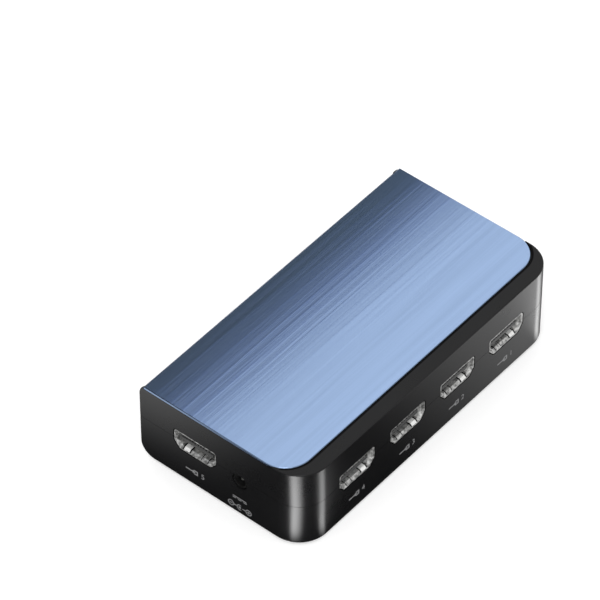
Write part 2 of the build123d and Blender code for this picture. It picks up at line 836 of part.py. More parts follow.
hump_front = inlet_front + inlet_spring_hump_depth - inlet_spring_hump_length / 2
hump_back = hump_front + inlet_spring_hump_length
hump_middle = (hump_front + hump_back) / 2
with BuildPart() as dc_jack_spring:
    with BuildSketch(inlet_plan):
        with BuildLine():
            Polyline(
                (spring_front, inlet_spring_offset),
                (hump_front, inlet_spring_offset),
                (hump_middle, inlet_spring_offset - inlet_spring_hump),
                (hump_back, inlet_spring_offset),
                (inlet_back + inlet_tail_length, inlet_spring_offset),
                (inlet_back + inlet_tail_length, spring_outside),
                (hump_back, spring_outside),
                (hump_middle, spring_outside - inlet_spring_hump),
                (hump_front, spring_outside),
                (spring_front, spring_outside),
                close=True,
            )
        make_face()
    extrude(amount=inlet_spring_width / 2, both=True)
    with BuildSketch(inlet_plan.offset(board_top_z - inlet_z)):
        with Locations((inlet_back + inlet_notch_gap, inlet_spring_offset)):
            Rectangle(
                inlet_tail_length - inlet_notch_gap, inlet_spring_thickness, align=Align.MIN
            )
    extrude(amount=inlet_z - board_top_z)
dc_jack_spring.part.label = "dc_jack_spring"

# Select button: a cap that slides in the window and pushes the plunger of a key behind it
cap_flange_depth = wall + window_flange_thickness + button_stop_gap
plunger_tip_depth = cap_flange_depth + button_flange_thickness
key_front_depth = plunger_tip_depth + key_gap
key_front_y = far_face_y - key_front_depth
dish_radius = ((button_dish_diameter / 2) ** 2 + button_dish_depth**2) / (2 * button_dish_depth)
with BuildPart() as select_button:
    with BuildSketch(button.offset(button_proud)):
        Circle(button_diameter / 2)
    extrude(amount=-(button_proud + cap_flange_depth))
    chamfer(select_button.edges().group_by(Axis.Y)[-1], button_edge_chamfer)
    with BuildSketch(button.offset(-cap_flange_depth)):
        Circle(button_flange_diameter / 2)
    extrude(amount=-button_flange_thickness)
    with Locations(button.offset(button_proud - button_dish_depth + dish_radius)):
        Sphere(dish_radius, mode=Mode.SUBTRACT)
select_button.part.label = "select_button"

with BuildPart() as tact_switch_plunger:
    with BuildSketch(button.offset(-plunger_tip_depth)):
        Circle(key_plunger_diameter / 2)
    extrude(amount=-(key_gap + key_bore_depth - button_travel - seat_clearance))
tact_switch_plunger.part.label = "tact_switch_plunger"

with BuildPart() as tact_switch_body:
    with BuildSketch(Plane.XY.offset(board_top_z)):
        with Locations((button_x, key_front_y)):
            Rectangle(key_body_width, key_body_depth, align=(Align.CENTER, Align.MAX))
    extrude(amount=key_body_height)
    with BuildSketch(button.offset(-key_front_depth)):
        Circle(key_plunger_diameter / 2 + slide_clearance)
    extrude(amount=-key_bore_depth, mode=Mode.SUBTRACT)
tact_switch_body.part.label = "tact_switch_body"

with BuildPart() as tact_switch_frame:
    key_top_z = board_top_z + key_body_height
    with BuildSketch(Plane.YZ.offset(button_x)):
        with Locations((key_front_y, board_top_z)):
            Rectangle(key_frame_thickness, key_body_height, align=Align.MIN)
        with Locations((key_front_y + key_frame_thickness, key_top_z)):
            Rectangle(
                key_body_depth + key_frame_thickness,
                key_frame_thickness,
                align=(Align.MAX, Align.MIN),
            )
    extrude(amount=key_body_width / 2, both=True)
    with BuildSketch(button.offset(-plunger_tip_depth)):
        Circle(key_plunger_diameter / 2 + slide_clearance)
    extrude(amount=-key_gap, mode=Mode.SUBTRACT)
tact_switch_frame.part.label = "tact_switch_frame"

# Indicators: lamps on the board, and a light guide that is stuck to the back of the window
with BuildPart() as indicator_leds:
    with BuildSketch(Plane.XY.offset(board_top_z)):
        with Locations(*[(x, lamp_y) for x in input_lamp_places]):
            Rectangle(lamp_width, lamp_depth)
    extrude(amount=lamp_height * lamp_base_share)
    with BuildSketch(Plane.XY.offset(board_top_z)):
        with Locations(*[(x, lamp_y) for x in input_lamp_places]):
            Rectangle(lamp_width * lamp_lens_share, lamp_depth * lamp_lens_share)
    extrude(amount=lamp_height)
indicator_leds.part.label = "indicator_leds"

with BuildPart() as power_led:
    with BuildSketch(Plane.XY.offset(board_top_z)):
        with Locations((power_lamp_x, lamp_y)):
            Rectangle(lamp_width, lamp_depth)
    extrude(amount=lamp_height * lamp_base_share)
    with BuildSketch(Plane.XY.offset(board_top_z)):
        with Locations((power_lamp_x, lamp_y)):
            Rectangle(lamp_width * lamp_lens_share, lamp_depth * lamp_lens_share)
    extrude(amount=lamp_height)
power_led.part.label = "power_led"

guide_back_y = window_back_y - guide_bar_thickness
finger_low_z = board_top_z + lamp_height + guide_lamp_gap
finger_high_z = finger_low_z + guide_finger_size
finger_end_y = lamp_y - guide_finger_size / 2
guide_low_x = input_lamp_places[-1] - guide_finger_size
guide_high_x = power_lamp_x + guide_finger_size
with BuildPart() as guide_finger:
    with BuildSketch(Plane.YZ):
        with BuildLine():
            Polyline(
                (guide_back_y, finger_low_z),
                (finger_end_y, finger_low_z),
                (finger_end_y, finger_high_z - guide_reflector),
                (finger_end_y + guide_reflector, finger_high_z),
                (guide_back_y, finger_high_z),
                close=True,
            )
        make_face()
    extrude(amount=guide_finger_size / 2, both=True)

with BuildPart() as light_guide:
    with BuildSketch(Plane.XZ.offset(-window_back_y)):
        with Locations(((guide_low_x + guide_high_x) / 2, front_axis_z)):
            Rectangle(guide_high_x - guide_low_x, guide_bar_height)
    extrude(amount=guide_bar_thickness)
    with Locations(*[(x, 0, 0) for x in input_lamp_places + [power_lamp_x]]):
        add(guide_finger.part)
light_guide.part.label = "light_guide"

with BuildPart() as ir_receiver:
    with BuildSketch(Plane.XY.offset(receiver_z)):
        with Locations((receiver_x, receiver_front_y)):
            Rectangle(receiver_width, receiver_depth, align=(Align.CENTER, Align.MAX))
    extrude(amount=receiver_height)
    with Locations((receiver_x, receiver_front_y, receiver_z + receiver_height / 2)):
        Sphere(receiver_lens_radius)
    with BuildSketch(Plane.XY.offset(receiver_z)):
        with Locations((receiver_x, receiver_y)):
            with GridLocations(receiver_leg_pitch, 0, receiver_legs, 1):
                Rectangle(receiver_leg_width, receiver_leg_width)
    extrude(amount=-(receiver_lift + board_thickness + receiver_leg_end))
ir_receiver.part.label = "ir_receiver"

# Chips with bent leads
mux_lead_row = lead_row(
    mux_leads_per_side, mux_lead_pitch, mux_size / 2, mux_lift + mux_thickness * lead_height_share
)
control_lead_row = lead_row(
    control_leads_per_side,
    control_lead_pitch,
    control_width / 2,
    mux_lift + control_thickness * lead_height_share,
)
with BuildPart() as switch_chip:
    with BuildSketch(Plane((mux_x, mux_y, board_top_z + mux_lift))):
        Rectangle(mux_size, mux_size)
    extrude(amount=mux_thickness)
switch_chip.part.label = "switch_chip"

with BuildPart() as switch_chip_leads:
    with Locations((mux_x, mux_y, board_top_z)):
        with PolarLocations(0, 4):
            add(mux_lead_row)
switch_chip_leads.part.label = "switch_chip_leads"

with BuildPart() as control_chip:
    with BuildSketch(Plane((control_x, control_y, board_top_z + mux_lift))):
        Rectangle(control_length, control_width)
    extrude(amount=control_thickness)
control_chip.part.label = "control_chip"

with BuildPart() as control_chip_leads:
    with Locations((control_x, control_y, board_top_z)):
        with PolarLocations(0, 2, start_angle=90):
            add(control_lead_row)
control_chip_leads.part.label = "control_chip_leads"

# Power parts
with BuildPart() as voltage_regulator:
    with BuildSketch(Plane((regulator_x, regulator_y, board_top_z))):
        Rectangle(regulator_width, regulator_depth)
    extrude(amount=regulator_thickness)
    with BuildSketch(Plane((regulator_x, regulator_y, board_top_z))):
        Rectangle(
            regulator_tab_width,
            regulator_depth / 2 + regulator_lead_reach,
            align=(Align.CENTER, Align.MIN),
        )
        with Locations((0, -regulator_depth / 2)):
            with GridLocations(regulator_lead_pitch, 0, regulator_leads, 1):
                Rectangle(
                    regulator_lead_width,
                    regulator_lead_reach,
                    align=(Align.CENTER, Align.MAX),
                )
    extrude(amount=regulator_lead_thickness)
voltage_regulator.part.label = "voltage_regulator"

with BuildPart() as power_inductor:
    with BuildSketch(Plane((inductor_x, inductor_y, board_top_z))):
        RectangleRounded(inductor_size, inductor_size, inductor_corner_radius)
    extrude(amount=inductor_height)
    chamfer(power_inductor.faces().sort_by(Axis.Z)[-1].edges(), inductor_edge_chamfer)
power_inductor.part.label = "power_inductor"

with BuildPart() as crystal:
    with BuildSketch(Plane((crystal_x, crystal_y, board_top_z))):
        SlotOverall(crystal_length + 2 * crystal_flange, crystal_width + 2 * crystal_flange)
    extrude(amount=crystal_flange_thickness)
    with BuildSketch(Plane((crystal_x, crystal_y, board_top_z))):
        SlotOverall(crystal_length, crystal_width)
    extrude(amount=crystal_height)
    chamfer(crystal.faces().sort_by(Axis.Z)[-1].edges(), crystal_edge_chamfer)
crystal.part.label = "crystal"

# Side view of a can from its foot up, with the rolled groove above its base
with BuildPart() as can_body:
    with BuildSketch(Plane.XZ):
        Rectangle(can_diameter / 2, can_height, align=Align.MIN)
        with Locations((can_diameter / 2, can_base_height + can_groove_height)):
            Rectangle(2 * can_groove_depth, can_groove_width, mode=Mode.SUBTRACT)
    revolve(axis=Axis.Z)
    chamfer(can_body.edges().group_by(Axis.Z)[-1], can_edge_chamfer)
    with BuildSketch(Plane.XY):
        Rectangle(can_base_size, can_base_size)
    extrude(amount=can_base_height)

with BuildPart() as electrolytic_capacitors:
    with Locations(*[(left_x + x, y, board_top_z) for x, y in zip(can_from_end, can_y)]):
        add(can_body.part)
electrolytic_capacitors.part.label = "electrolytic_capacitors"

# Small parts in rows: capacitors beside the switch chip, resistors beside the control chip,
# and protection arrays behind each socket
with BuildPart() as ceramic_capacitors:
    with BuildSketch(Plane((mux_x, mux_y, board_top_z))):
        with GridLocations(chip_pitch, 2 * chip_row_offset, chips_each_side, 2):
            Rectangle(chip_length, chip_width)
    extrude(amount=chip_height)
ceramic_capacitors.part.label = "ceramic_capacitors"

with BuildPart() as chip_resistors:
    with BuildSketch(Plane((control_x, control_y, board_top_z))):
        row_spacing = control_width + 2 * (lead_reach + chip_row_gap)
        with GridLocations(chip_pitch, row_spacing, resistors_in_row, 2):
            Rectangle(chip_length, chip_width)
    extrude(amount=resistor_height)
chip_resistors.part.label = "chip_resistors"

with BuildPart() as array_row:
    with BuildSketch(Plane.XZ.offset(socket_outer_height / 2)):
        with Locations((0, -socket_depth - array_setback)):
            with GridLocations(array_spacing, 0, arrays_per_socket, 1):
                Rectangle(array_length, array_width)
    extrude(amount=-array_height)

with BuildPart() as protection_arrays:
    with Locations(*sockets.values()):
        add(array_row.part)
protection_arrays.part.label = "protection_arrays"

pieces = socket_pieces + [
    lower_shell,
    upper_shell,
    top_plate,
    plate_adhesive,
    front_window,
    rubber_feet,
    case_screws,
    board_screws,
    circuit_board,
    dc_jack_housing,
    dc_jack_pin,
    dc_jack_spring,
    select_button,
    tact_switch_plunger,
    tact_switch_body,
    tact_switch_frame,
    indicator_leds,
    power_led,
    light_guide,
    ir_receiver,
    switch_chip,
    switch_chip_leads,
    control_chip,
    control_chip_leads,
    voltage_regulator,
    power_inductor,
    crystal,
    electrolytic_capacitors,
    ceramic_capacitors,
    chip_resistors,
    protection_arrays,
]
os.makedirs("parts", exist_ok=True)
for piece in pieces:
    export_step(piece.part, f"parts/{piece.part.label}.step")
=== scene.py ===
"""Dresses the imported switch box: smooth surfaces, finishes, marks, small pieces, light and camera.

Lengths are metres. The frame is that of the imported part: +X runs along the box, the row of four
inputs faces -Y, the window faces +Y and +Z is up.
"""

import json
import logging
import math
from collections.abc import Iterable, Mapping, Sequence
from dataclasses import dataclass, field
from enum import Enum
from typing import Any

import bmesh
import bpy
from bpy.types import ID, Material, Mesh, Node, NodeSocket, NodeTree, Object, World
from mathutils import Matrix, Vector

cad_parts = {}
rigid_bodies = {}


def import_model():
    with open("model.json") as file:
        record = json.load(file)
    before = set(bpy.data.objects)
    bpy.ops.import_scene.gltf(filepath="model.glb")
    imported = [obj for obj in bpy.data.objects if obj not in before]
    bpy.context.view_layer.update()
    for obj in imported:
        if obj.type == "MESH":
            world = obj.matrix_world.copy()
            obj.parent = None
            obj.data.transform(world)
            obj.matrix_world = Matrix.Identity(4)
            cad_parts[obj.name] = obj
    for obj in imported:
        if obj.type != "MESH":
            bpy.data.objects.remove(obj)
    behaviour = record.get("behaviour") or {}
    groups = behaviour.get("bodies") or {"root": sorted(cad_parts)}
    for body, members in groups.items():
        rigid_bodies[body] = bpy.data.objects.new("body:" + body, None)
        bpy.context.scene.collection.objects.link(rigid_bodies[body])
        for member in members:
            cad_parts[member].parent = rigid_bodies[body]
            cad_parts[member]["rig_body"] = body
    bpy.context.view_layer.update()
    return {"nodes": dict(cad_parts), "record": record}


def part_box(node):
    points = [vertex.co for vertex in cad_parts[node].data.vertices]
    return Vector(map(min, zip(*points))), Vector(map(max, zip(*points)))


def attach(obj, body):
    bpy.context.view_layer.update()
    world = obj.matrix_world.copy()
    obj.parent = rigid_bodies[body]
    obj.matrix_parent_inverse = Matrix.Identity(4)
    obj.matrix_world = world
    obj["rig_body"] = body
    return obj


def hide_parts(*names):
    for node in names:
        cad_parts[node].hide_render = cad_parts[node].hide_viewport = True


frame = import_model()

log = logging.getLogger("switch_box")

MM = 0.001
MERGE_DISTANCE = 0.0005 * MM
SHARP_ANGLE = math.radians(28)
# How far the camera stands from the near side towards the left, in degrees.
VIEW_TURN = 50.1943

Colour = tuple[float, float, float]
Paint = Colour | NodeSocket
Point = tuple[float, float]
Span = tuple[float, float]
Settings = Mapping[str, Any] | None
Inputs = Mapping[str | int, Any] | None


class Body(Enum):
    """The CAD bodies that a piece can ride on."""

    BOX = "box"
    BUTTON = "select_button"


class Arrow(Enum):
    """Which way the arrow of a socket's mark points: into the box or out of it."""

    INWARDS = 1
    OUTWARDS = -1


class Face(Enum):
    """A flat side of the housing, as the direction that points right for whoever looks at it."""

    NEAR = (1.0, 0.0, 0.0)
    LEFT_END = (0.0, -1.0, 0.0)
    RIGHT_END = (0.0, 1.0, 0.0)
    FAR = (-1.0, 0.0, 0.0)

    def plane(self, place: Vector) -> Matrix:
        """A matrix whose X points right and Y up on this face, and whose Z points out of it.

        Args:
            place: The point on the face where the drawing's middle comes.

        Returns:
            The matrix that takes a flat drawing to the face.
        """
        right, up = Vector(self.value), Vector((0.0, 0.0, 1.0))
        turn = Matrix((right, up, right.cross(up))).transposed()
        return Matrix.Translation(place) @ turn.to_4x4()

    def touch(self, point: Vector, low: Vector, high: Vector) -> Vector:
        """Moves a point straight out to this side of an upright box.

        Args:
            point: The point.
            low: The box's lowest corner.
            high: The box's highest corner.

        Returns:
            The point on the side.
        """
        x = {Face.LEFT_END: low.x, Face.RIGHT_END: high.x}.get(self, point.x)
        y = {Face.NEAR: low.y, Face.FAR: high.y}.get(self, point.y)
        return Vector((x, y, point.z))


# Node trees


class Signal:
    """A number that varies over a surface: a node's socket, whose arithmetic adds Math nodes."""

    def __init__(self, recipe: "Recipe", socket: NodeSocket) -> None:
        """Keeps the socket and the recipe that it belongs to."""
        self.recipe = recipe
        self.socket = socket

    def _math(self, operation: str, *operands: "Signal | float") -> "Signal":
        """The result of one Math node on the operands, in order."""
        settings = {"operation": operation}
        return self.recipe.signal("ShaderNodeMath", settings, dict(enumerate(operands)))

    def __add__(self, other: "Signal | float") -> "Signal":
        """Sum."""
        return self._math("ADD", self, other)

    def __radd__(self, other: float) -> "Signal":
        """Sum with a plain number on the left."""
        return self._math("ADD", other, self)

    def __sub__(self, other: "Signal | float") -> "Signal":
        """Difference."""
        return self._math("SUBTRACT", self, other)

    def __rsub__(self, other: float) -> "Signal":
        """Difference from a plain number on the left."""
        return self._math("SUBTRACT", other, self)

    def __mul__(self, other: "Signal | float") -> "Signal":
        """Product."""
        return self._math("MULTIPLY", self, other)

    def __rmul__(self, other: float) -> "Signal":
        """Product with a plain number on the left."""
        return self._math("MULTIPLY", other, self)

    def __truediv__(self, other: "Signal | float") -> "Signal":
        """Quotient."""
        return self._math("DIVIDE", self, other)

    def __rtruediv__(self, other: float) -> "Signal":
        """Quotient with a plain number on top."""
        return self._math("DIVIDE", other, self)

    def ramp(self, start: float, end: float) -> "Signal":
        """A smooth step, 0 where the value is at the start and 1 where it is at the end."""
        span = {"Value": self, "From Min": start, "From Max": end}
        return self.recipe.signal("ShaderNodeMapRange", {"interpolation_type": "SMOOTHSTEP"}, span)

    def between(self, start: float, end: float, start_edge: float, end_edge: float) -> "Signal":
        """A plateau from start to end, whose two slopes are as wide as the edges say."""
        rise = self.ramp(start - start_edge / 2, start + start_edge / 2)
        return rise * self.ramp(end + end_edge / 2, end - end_edge / 2)


class Recipe:
    """Adds nodes to one tree: a material's, the world's or a Geometry Nodes tree."""

    def __init__(self, tree: NodeTree) -> None:
        """Keeps the tree that the nodes go into."""
        self.tree = tree

    @classmethod
    def of(cls, owner: Material | World) -> "Recipe":
        """Empties the tree of a material or of the world.

        Args:
            owner: The material or the world.

        Returns:
            The recipe of its tree.
        """
        owner.use_nodes = True
        owner.node_tree.nodes.clear()
        return cls(owner.node_tree)

    def node(self, kind: str, settings: Settings = None, inputs: Inputs = None) -> Node:
        """Adds one node.

        Args:
            kind: The node's type.
            settings: Its own settings, set before its sockets.
            inputs: Values or links, by the name or the number of the socket.

        Returns:
            The node.
        """
        node = self.tree.nodes.new(kind)
        for name, value in (settings or {}).items():
            setattr(node, name, value)
        for key, value in (inputs or {}).items():
            self.feed(node.inputs[key], value)
        return node

    def feed(self, socket: NodeSocket, value: Any) -> None:
        """Gives an input its value or link.

        Args:
            socket: The input.
            value: A Signal or a socket to link, or a plain value.
        """
        if isinstance(value, Signal):
            value = value.socket
        if isinstance(value, NodeSocket):
            self.tree.links.new(value, socket)
        else:
            socket.default_value = value

    def signal(
        self, kind: str, settings: Settings = None, inputs: Inputs = None, output: str | int = 0
    ) -> Signal:
        """Adds one node and wraps an output of it, by its name or number, as a Signal."""
        return Signal(self, self.node(kind, settings, inputs).outputs[output])

    def place(self, scale: Sequence[float] = (1.0, 1.0, 1.0)) -> NodeSocket:
        """The point on the object, with each axis stretched before a pattern reads it."""
        inputs = {"Vector": self.node("ShaderNodeTexCoord").outputs["Object"], "Scale": scale}
        return self.node("ShaderNodeMapping", inputs=inputs).outputs["Vector"]

    def axes(self) -> tuple[Signal, Signal]:
        """X and Y of the point on the object, in metres."""
        split = self.node("ShaderNodeSeparateXYZ", inputs={"Vector": self.place()})
        return Signal(self, split.outputs["X"]), Signal(self, split.outputs["Y"])

    def noise(self, scale: Sequence[float], detail: float = 2.0) -> Signal:
        """Soft noise about 0.5, in ripples to the metre along each axis, with finer layers."""
        inputs = {"Vector": self.place(scale), "Scale": 1.0, "Detail": detail}
        return self.signal("ShaderNodeTexNoise", inputs=inputs)

    def upwards(self) -> Signal:
        """How far the surface faces up: 1 on a flat top, 0 on a wall."""
        facing = self.node("ShaderNodeNewGeometry").outputs["Normal"]
        return self.signal("ShaderNodeSeparateXYZ", inputs={"Vector": facing}, output="Z")

    def tint(self, amount: Signal, low: Paint, high: Paint) -> NodeSocket:
        """Mixes two colours.

        Args:
            amount: 0 for the first colour, 1 for the second.
            low: The first colour, plain or a link.
            high: The second colour, plain or a link.

        Returns:
            The mixed colour.
        """
        node = self.node("ShaderNodeMix", {"data_type": "RGBA"})
        self.feed(node.inputs[0], amount)
        for socket, colour in ((node.inputs[6], low), (node.inputs[7], high)):
            self.feed(socket, (*colour, 1.0) if isinstance(colour, tuple) else colour)
        return node.outputs[2]

    def relief(self, height: Signal, depth: float) -> NodeSocket:
        """A normal bumped by a height from 0 to 1, with its full depth in metres."""
        inputs = {"Height": height, "Strength": 1.0, "Distance": depth}
        return self.node("ShaderNodeBump", inputs=inputs).outputs["Normal"]


def scaled(colour: Colour, factor: float) -> Colour:
    """A colour made lighter or darker by a factor."""
    return tuple(min(channel * factor, 1.0) for channel in colour)


def about_one(amount: Signal, share: float) -> Signal:
    """A factor: smaller than 1 by a share where the amount is 0, and larger where it is 1."""
    return 1 - share + 2 * share * amount


# Finishes


@dataclass(frozen=True)
class Finish:
    """An even finish, and the base of those that vary over the surface."""

    name: str
    colour: Colour
    roughness: float = 0.5
    metallic: float = 0.0
    specular: float = 0.5
    alpha: float = 1.0
    glow: float = 0.0

    def material(self) -> Material:
        """Makes the finish's material, or finds it if it is made.

        Returns:
            The material.
        """
        made = bpy.data.materials.get(self.name)
        if made:
            return made
        material = bpy.data.materials.new(self.name)
        recipe = Recipe.of(material)
        inputs = {
            "Base Color": (*self.colour, 1.0),
            "Roughness": self.roughness,
            "Metallic": self.metallic,
            "Specular IOR Level": self.specular,
            "Alpha": self.alpha,
            "Emission Color": (1.0, 1.0, 1.0, 1.0),
            "Emission Strength": self.glow,
        }
        shader = recipe.node("ShaderNodeBsdfPrincipled", inputs=inputs)
        for socket, value in self.variation(recipe).items():
            recipe.feed(shader.inputs[socket], value)
        recipe.node("ShaderNodeOutputMaterial", inputs={"Surface": shader.outputs[0]})
        return material

    def variation(self, recipe: Recipe) -> dict[str, Any]:
        """What varies over the surface, by the shader's socket. An even finish has nothing."""
        return {}

    def shaded(self, recipe: Recipe, amount: Signal, share: float) -> NodeSocket:
        """The colour, darker by a share where the amount is 0 and lighter where it is 1."""
        return recipe.tint(amount, scaled(self.colour, 1 - share), scaled(self.colour, 1 + share))


@dataclass(frozen=True)
class Moulding(Finish):
    """Moulded plastic or rubber: a fine grain, and a soft unevenness of the gloss."""

    grain_size: float = 0.25 * MM
    grain_depth: float = 0.001 * MM
    grain_share: float = 0.1
    grain_detail: float = 3.0
    cloud_size: float = 14.0 * MM
    cloud_share: float = 0.12

    def variation(self, recipe: Recipe) -> dict[str, Any]:
        """Grain in the normal and the gloss, clouds in the gloss and the colour.

        Args:
            recipe: The recipe of the material.

        Returns:
            The links by the shader's socket.
        """
        grain = recipe.noise((1 / self.grain_size,) * 3, self.grain_detail)
        clouds = recipe.noise((1 / self.cloud_size,) * 3)
        gloss = about_one(clouds, self.cloud_share) + self.grain_share * grain
        return {
            "Base Color": self.shaded(recipe, clouds, self.cloud_share),
            "Roughness": self.roughness * gloss,
            "Normal": recipe.relief(grain, self.grain_depth),
        }


@dataclass(frozen=True)
class BrushedPlate(Finish):
    """Brushed and dyed metal: hairs along X, in bands of more and less depth.

    Hairs, bands and broad bands each have a length, a width, a share in the streaks and a number
    of finer layers.
    """

    hair: tuple[float, float, float, float] = (38.0 * MM, 0.32 * MM, 0.2, 3.0)
    band: tuple[float, float, float, float] = (95.0 * MM, 1.5 * MM, 0.45, 3.0)
    broad: tuple[float, float, float, float] = (126.67 * MM, 7.5 * MM, 0.35, 2.0)
    contrast: Span = (0.34, 0.66)
    streak_share: float = 0.05
    gloss_share: float = 0.1
    groove_depth: float = 0.08 * MM
    hair_groove: float = 0.16
    # Painted shade on the cut edge: the colour darkens where the surface leans away from up.
    edge_slope: Span = (0.97, 0.85)
    edge_share: float = 0.5

    def variation(self, recipe: Recipe) -> dict[str, Any]:
        """Streaks in the colour, the gloss and the normal, and painted shade on the cut edge all
        round.

        Args:
            recipe: The recipe of the material.

        Returns:
            The links by the shader's socket.
        """
        hairs, bands, broad = (
            recipe.noise((1 / length, 1 / width, 1.0), detail)
            for length, width, _, detail in (self.hair, self.band, self.broad)
        )
        mixed = self.hair[2] * hairs + self.band[2] * bands + self.broad[2] * broad
        streaks = mixed.ramp(*self.contrast)
        brushed = self.shaded(recipe, streaks, self.streak_share)
        # Painted shade: a mask of how far the surface leans from up darkens the cut edge's colour.
        edge_painted_shade = recipe.upwards().ramp(*self.edge_slope)
        grooves = self.hair_groove * hairs + (1 - self.hair_groove) * bands
        return {
            "Base Color": recipe.tint(edge_painted_shade, brushed, scaled(self.colour, self.edge_share)),
            "Roughness": self.roughness * about_one(streaks, -self.gloss_share),
            "Normal": recipe.relief(grooves, self.groove_depth),
        }


@dataclass(frozen=True)
class Plating(Finish):
    """Plating on pressed sheet: faint clouds in the gloss and rolling lines in the relief."""

    cloud_size: float = 2.5 * MM
    cloud_share: float = 0.08
    cloud_contrast: Span = (0.3, 0.7)
    gloss_share: float = 0.2
    line_length: float = 16.667 * MM
    line_width: float = 0.2 * MM
    line_depth: float = 0.002 * MM

    def variation(self, recipe: Recipe) -> dict[str, Any]:
        """Clouds in the gloss and the colour, lines in the normal.

        Args:
            recipe: The recipe of the material.

        Returns:
            The links by the shader's socket.
        """
        clouds = recipe.noise((1 / self.cloud_size,) * 3).ramp(*self.cloud_contrast)
        lines = recipe.noise((1 / self.line_length, 1 / self.line_length, 1 / self.line_width))
        return {
            "Base Color": self.shaded(recipe, clouds, self.cloud_share),
            "Roughness": self.roughness * about_one(clouds, self.gloss_share),
            "Normal": recipe.relief(lines, self.line_depth),
        }


@dataclass(frozen=True)
class SolderMask(Finish):
    """Circuit board: copper runs that show through the mask as lighter stripes."""

    run_pitch: float = 1.1 * MM
    run_stretch: float = 0.7
    run_edge: Span = (0.3, 0.36)
    run_light: float = 1.7
    mask_depth: float = 0.03 * MM

    def variation(self, recipe: Recipe) -> dict[str, Any]:
        """Runs in the colour and the relief.

        Args:
            recipe: The recipe of the material.

        Returns:
            The links by the shader's socket.
        """
        place = recipe.place((1 / self.run_pitch, self.run_stretch / self.run_pitch, 0.0))
        inputs = {"Vector": place, "Scale": 1.0}
        cells = recipe.signal("ShaderNodeTexVoronoi", {"distance": "CHEBYCHEV"}, inputs)
        runs = cells.ramp(*self.run_edge)
        return {
            "Base Color": recipe.tint(runs, scaled(self.colour, self.run_light), self.colour),
            "Normal": recipe.relief(runs, self.mask_depth),
        }


FINISHES: dict[str, Finish] = {
    "housing": Moulding("moulded_black", (0.0075, 0.0075, 0.008), 0.27, specular=0.2),
    "button": Moulding("moulded_button", (0.016, 0.016, 0.018), 0.24, specular=0.35),
    "insulator": Moulding("moulded_insulator", (0.016, 0.016, 0.016), 0.5, specular=0.3),
    "chip": Moulding("moulded_chip", (0.022, 0.022, 0.023), 0.6, grain_depth=0.01 * MM),
    "rubber": Moulding("foot_rubber", (0.035, 0.035, 0.035), 0.85, grain_depth=0.01 * MM),
    "adhesive": Moulding("sheet_adhesive", (0.1, 0.1, 0.1), 0.8),
    "ceramic": Moulding("fired_ceramic", (0.5, 0.38, 0.25), 0.7),
    "lamp": Moulding("lamp_resin", (0.85, 0.85, 0.8), 0.3),
    "lens": Finish("receiver_lens", (0.03, 0.01, 0.016), 0.12),
    "window": Finish("smoked_window", (0.012, 0.008, 0.010), 0.09, alpha=0.86),
    "clear": Finish("clear_moulding", (0.82, 0.86, 0.88), 0.12, alpha=0.55),
    "plate": BrushedPlate("brushed_blue", (0.368, 0.508, 0.765), 0.34, metallic=1.0),
    "steel": Plating("zinc_steel", (0.52, 0.53, 0.55), 0.34, metallic=1.0),
    "nickel": Plating(
        "nickel_plating",
        (0.34, 0.34, 0.335),
        0.36,
        metallic=0.6,
        cloud_size=0.9 * MM,
        cloud_share=0.55,
    ),
    "tin": Plating("tin_plating", (0.66, 0.66, 0.65), 0.4, metallic=1.0),
    "gold": Plating("gold_plating", (0.86, 0.74, 0.5), 0.3, metallic=1.0),
    "board": SolderMask("solder_mask", (0.018, 0.11, 0.045), 0.35),
}
TONGUE = Moulding("moulded_tongue", (0.2, 0.2, 0.2), 0.5, specular=0.4)
NOSE = Moulding("moulded_nose", (0.05, 0.05, 0.05), 0.45, specular=0.4)
# A darkened plating for the pin deep in the inlet: painted shade.
INLET_PIN_PAINTED_SHADE = Plating("inlet_pin_painted_shade", (0.16, 0.16, 0.155), 0.4, metallic=1.0)
INLET_BLOCK = Moulding("inlet_block", (0.008, 0.008, 0.008), 0.55, specular=0.1)
# A lighter copy of the nickel: a painted highlight on one lower spring of each socket.
PAINTED_HIGHLIGHT_SPRING = Plating("spring_painted_highlight", (0.74, 0.74, 0.73), 0.45, metallic=0.25, cloud_size=0.9 * MM)
# A lighter copy of the nickel for the leaves in the row: a painted highlight.
SIDE_LEAF_PAINTED_HIGHLIGHT = Plating(
    "side_leaf_painted_highlight", (0.52, 0.52, 0.51), 0.45, metallic=0.25, cloud_size=0.9 * MM, cloud_share=0.3
)
SHADE = Finish("deep_shade", (0.004, 0.004, 0.0045), 0.9, specular=0.05)
INK = Finish("printed_ink", (0.19, 0.19, 0.194), 0.6, specular=0.2)
DIGIT_INK = Finish("digit_ink", (0.26, 0.26, 0.265), 0.6, specular=0.2)
LIGHT_SPOT = Finish("light_spot", (0.3, 0.33, 0.36), 0.35, specular=0.3)


# Meshes and pieces


def scene_object(name: str, data: ID) -> Object:
    """Puts a mesh, curve, light or camera into the scene.

    Args:
        name: The object's name.
        data: What it holds.

    Returns:
        The new object.
    """
    made = bpy.data.objects.new(name, data)
    bpy.context.scene.collection.objects.link(made)
    return made


def baked(carrier: Object) -> Mesh:
    """Turns an object into a plain mesh and removes it.

    Args:
        carrier: The object, whose modifiers or text make the shape.

    Returns:
        The mesh.
    """
    depsgraph = bpy.context.evaluated_depsgraph_get()
    mesh = bpy.data.meshes.new_from_object(carrier.evaluated_get(depsgraph))
    bpy.data.objects.remove(carrier)
    return mesh


def finished(form: bmesh.types.BMesh, name: str) -> Mesh:
    """Turns an edit mesh into a mesh and frees it.

    Args:
        form: The edit mesh.
        name: The mesh's name.

    Returns:
        The mesh.
    """
    mesh = bpy.data.meshes.new(name)
    form.to_mesh(mesh)
    form.free()
    return mesh


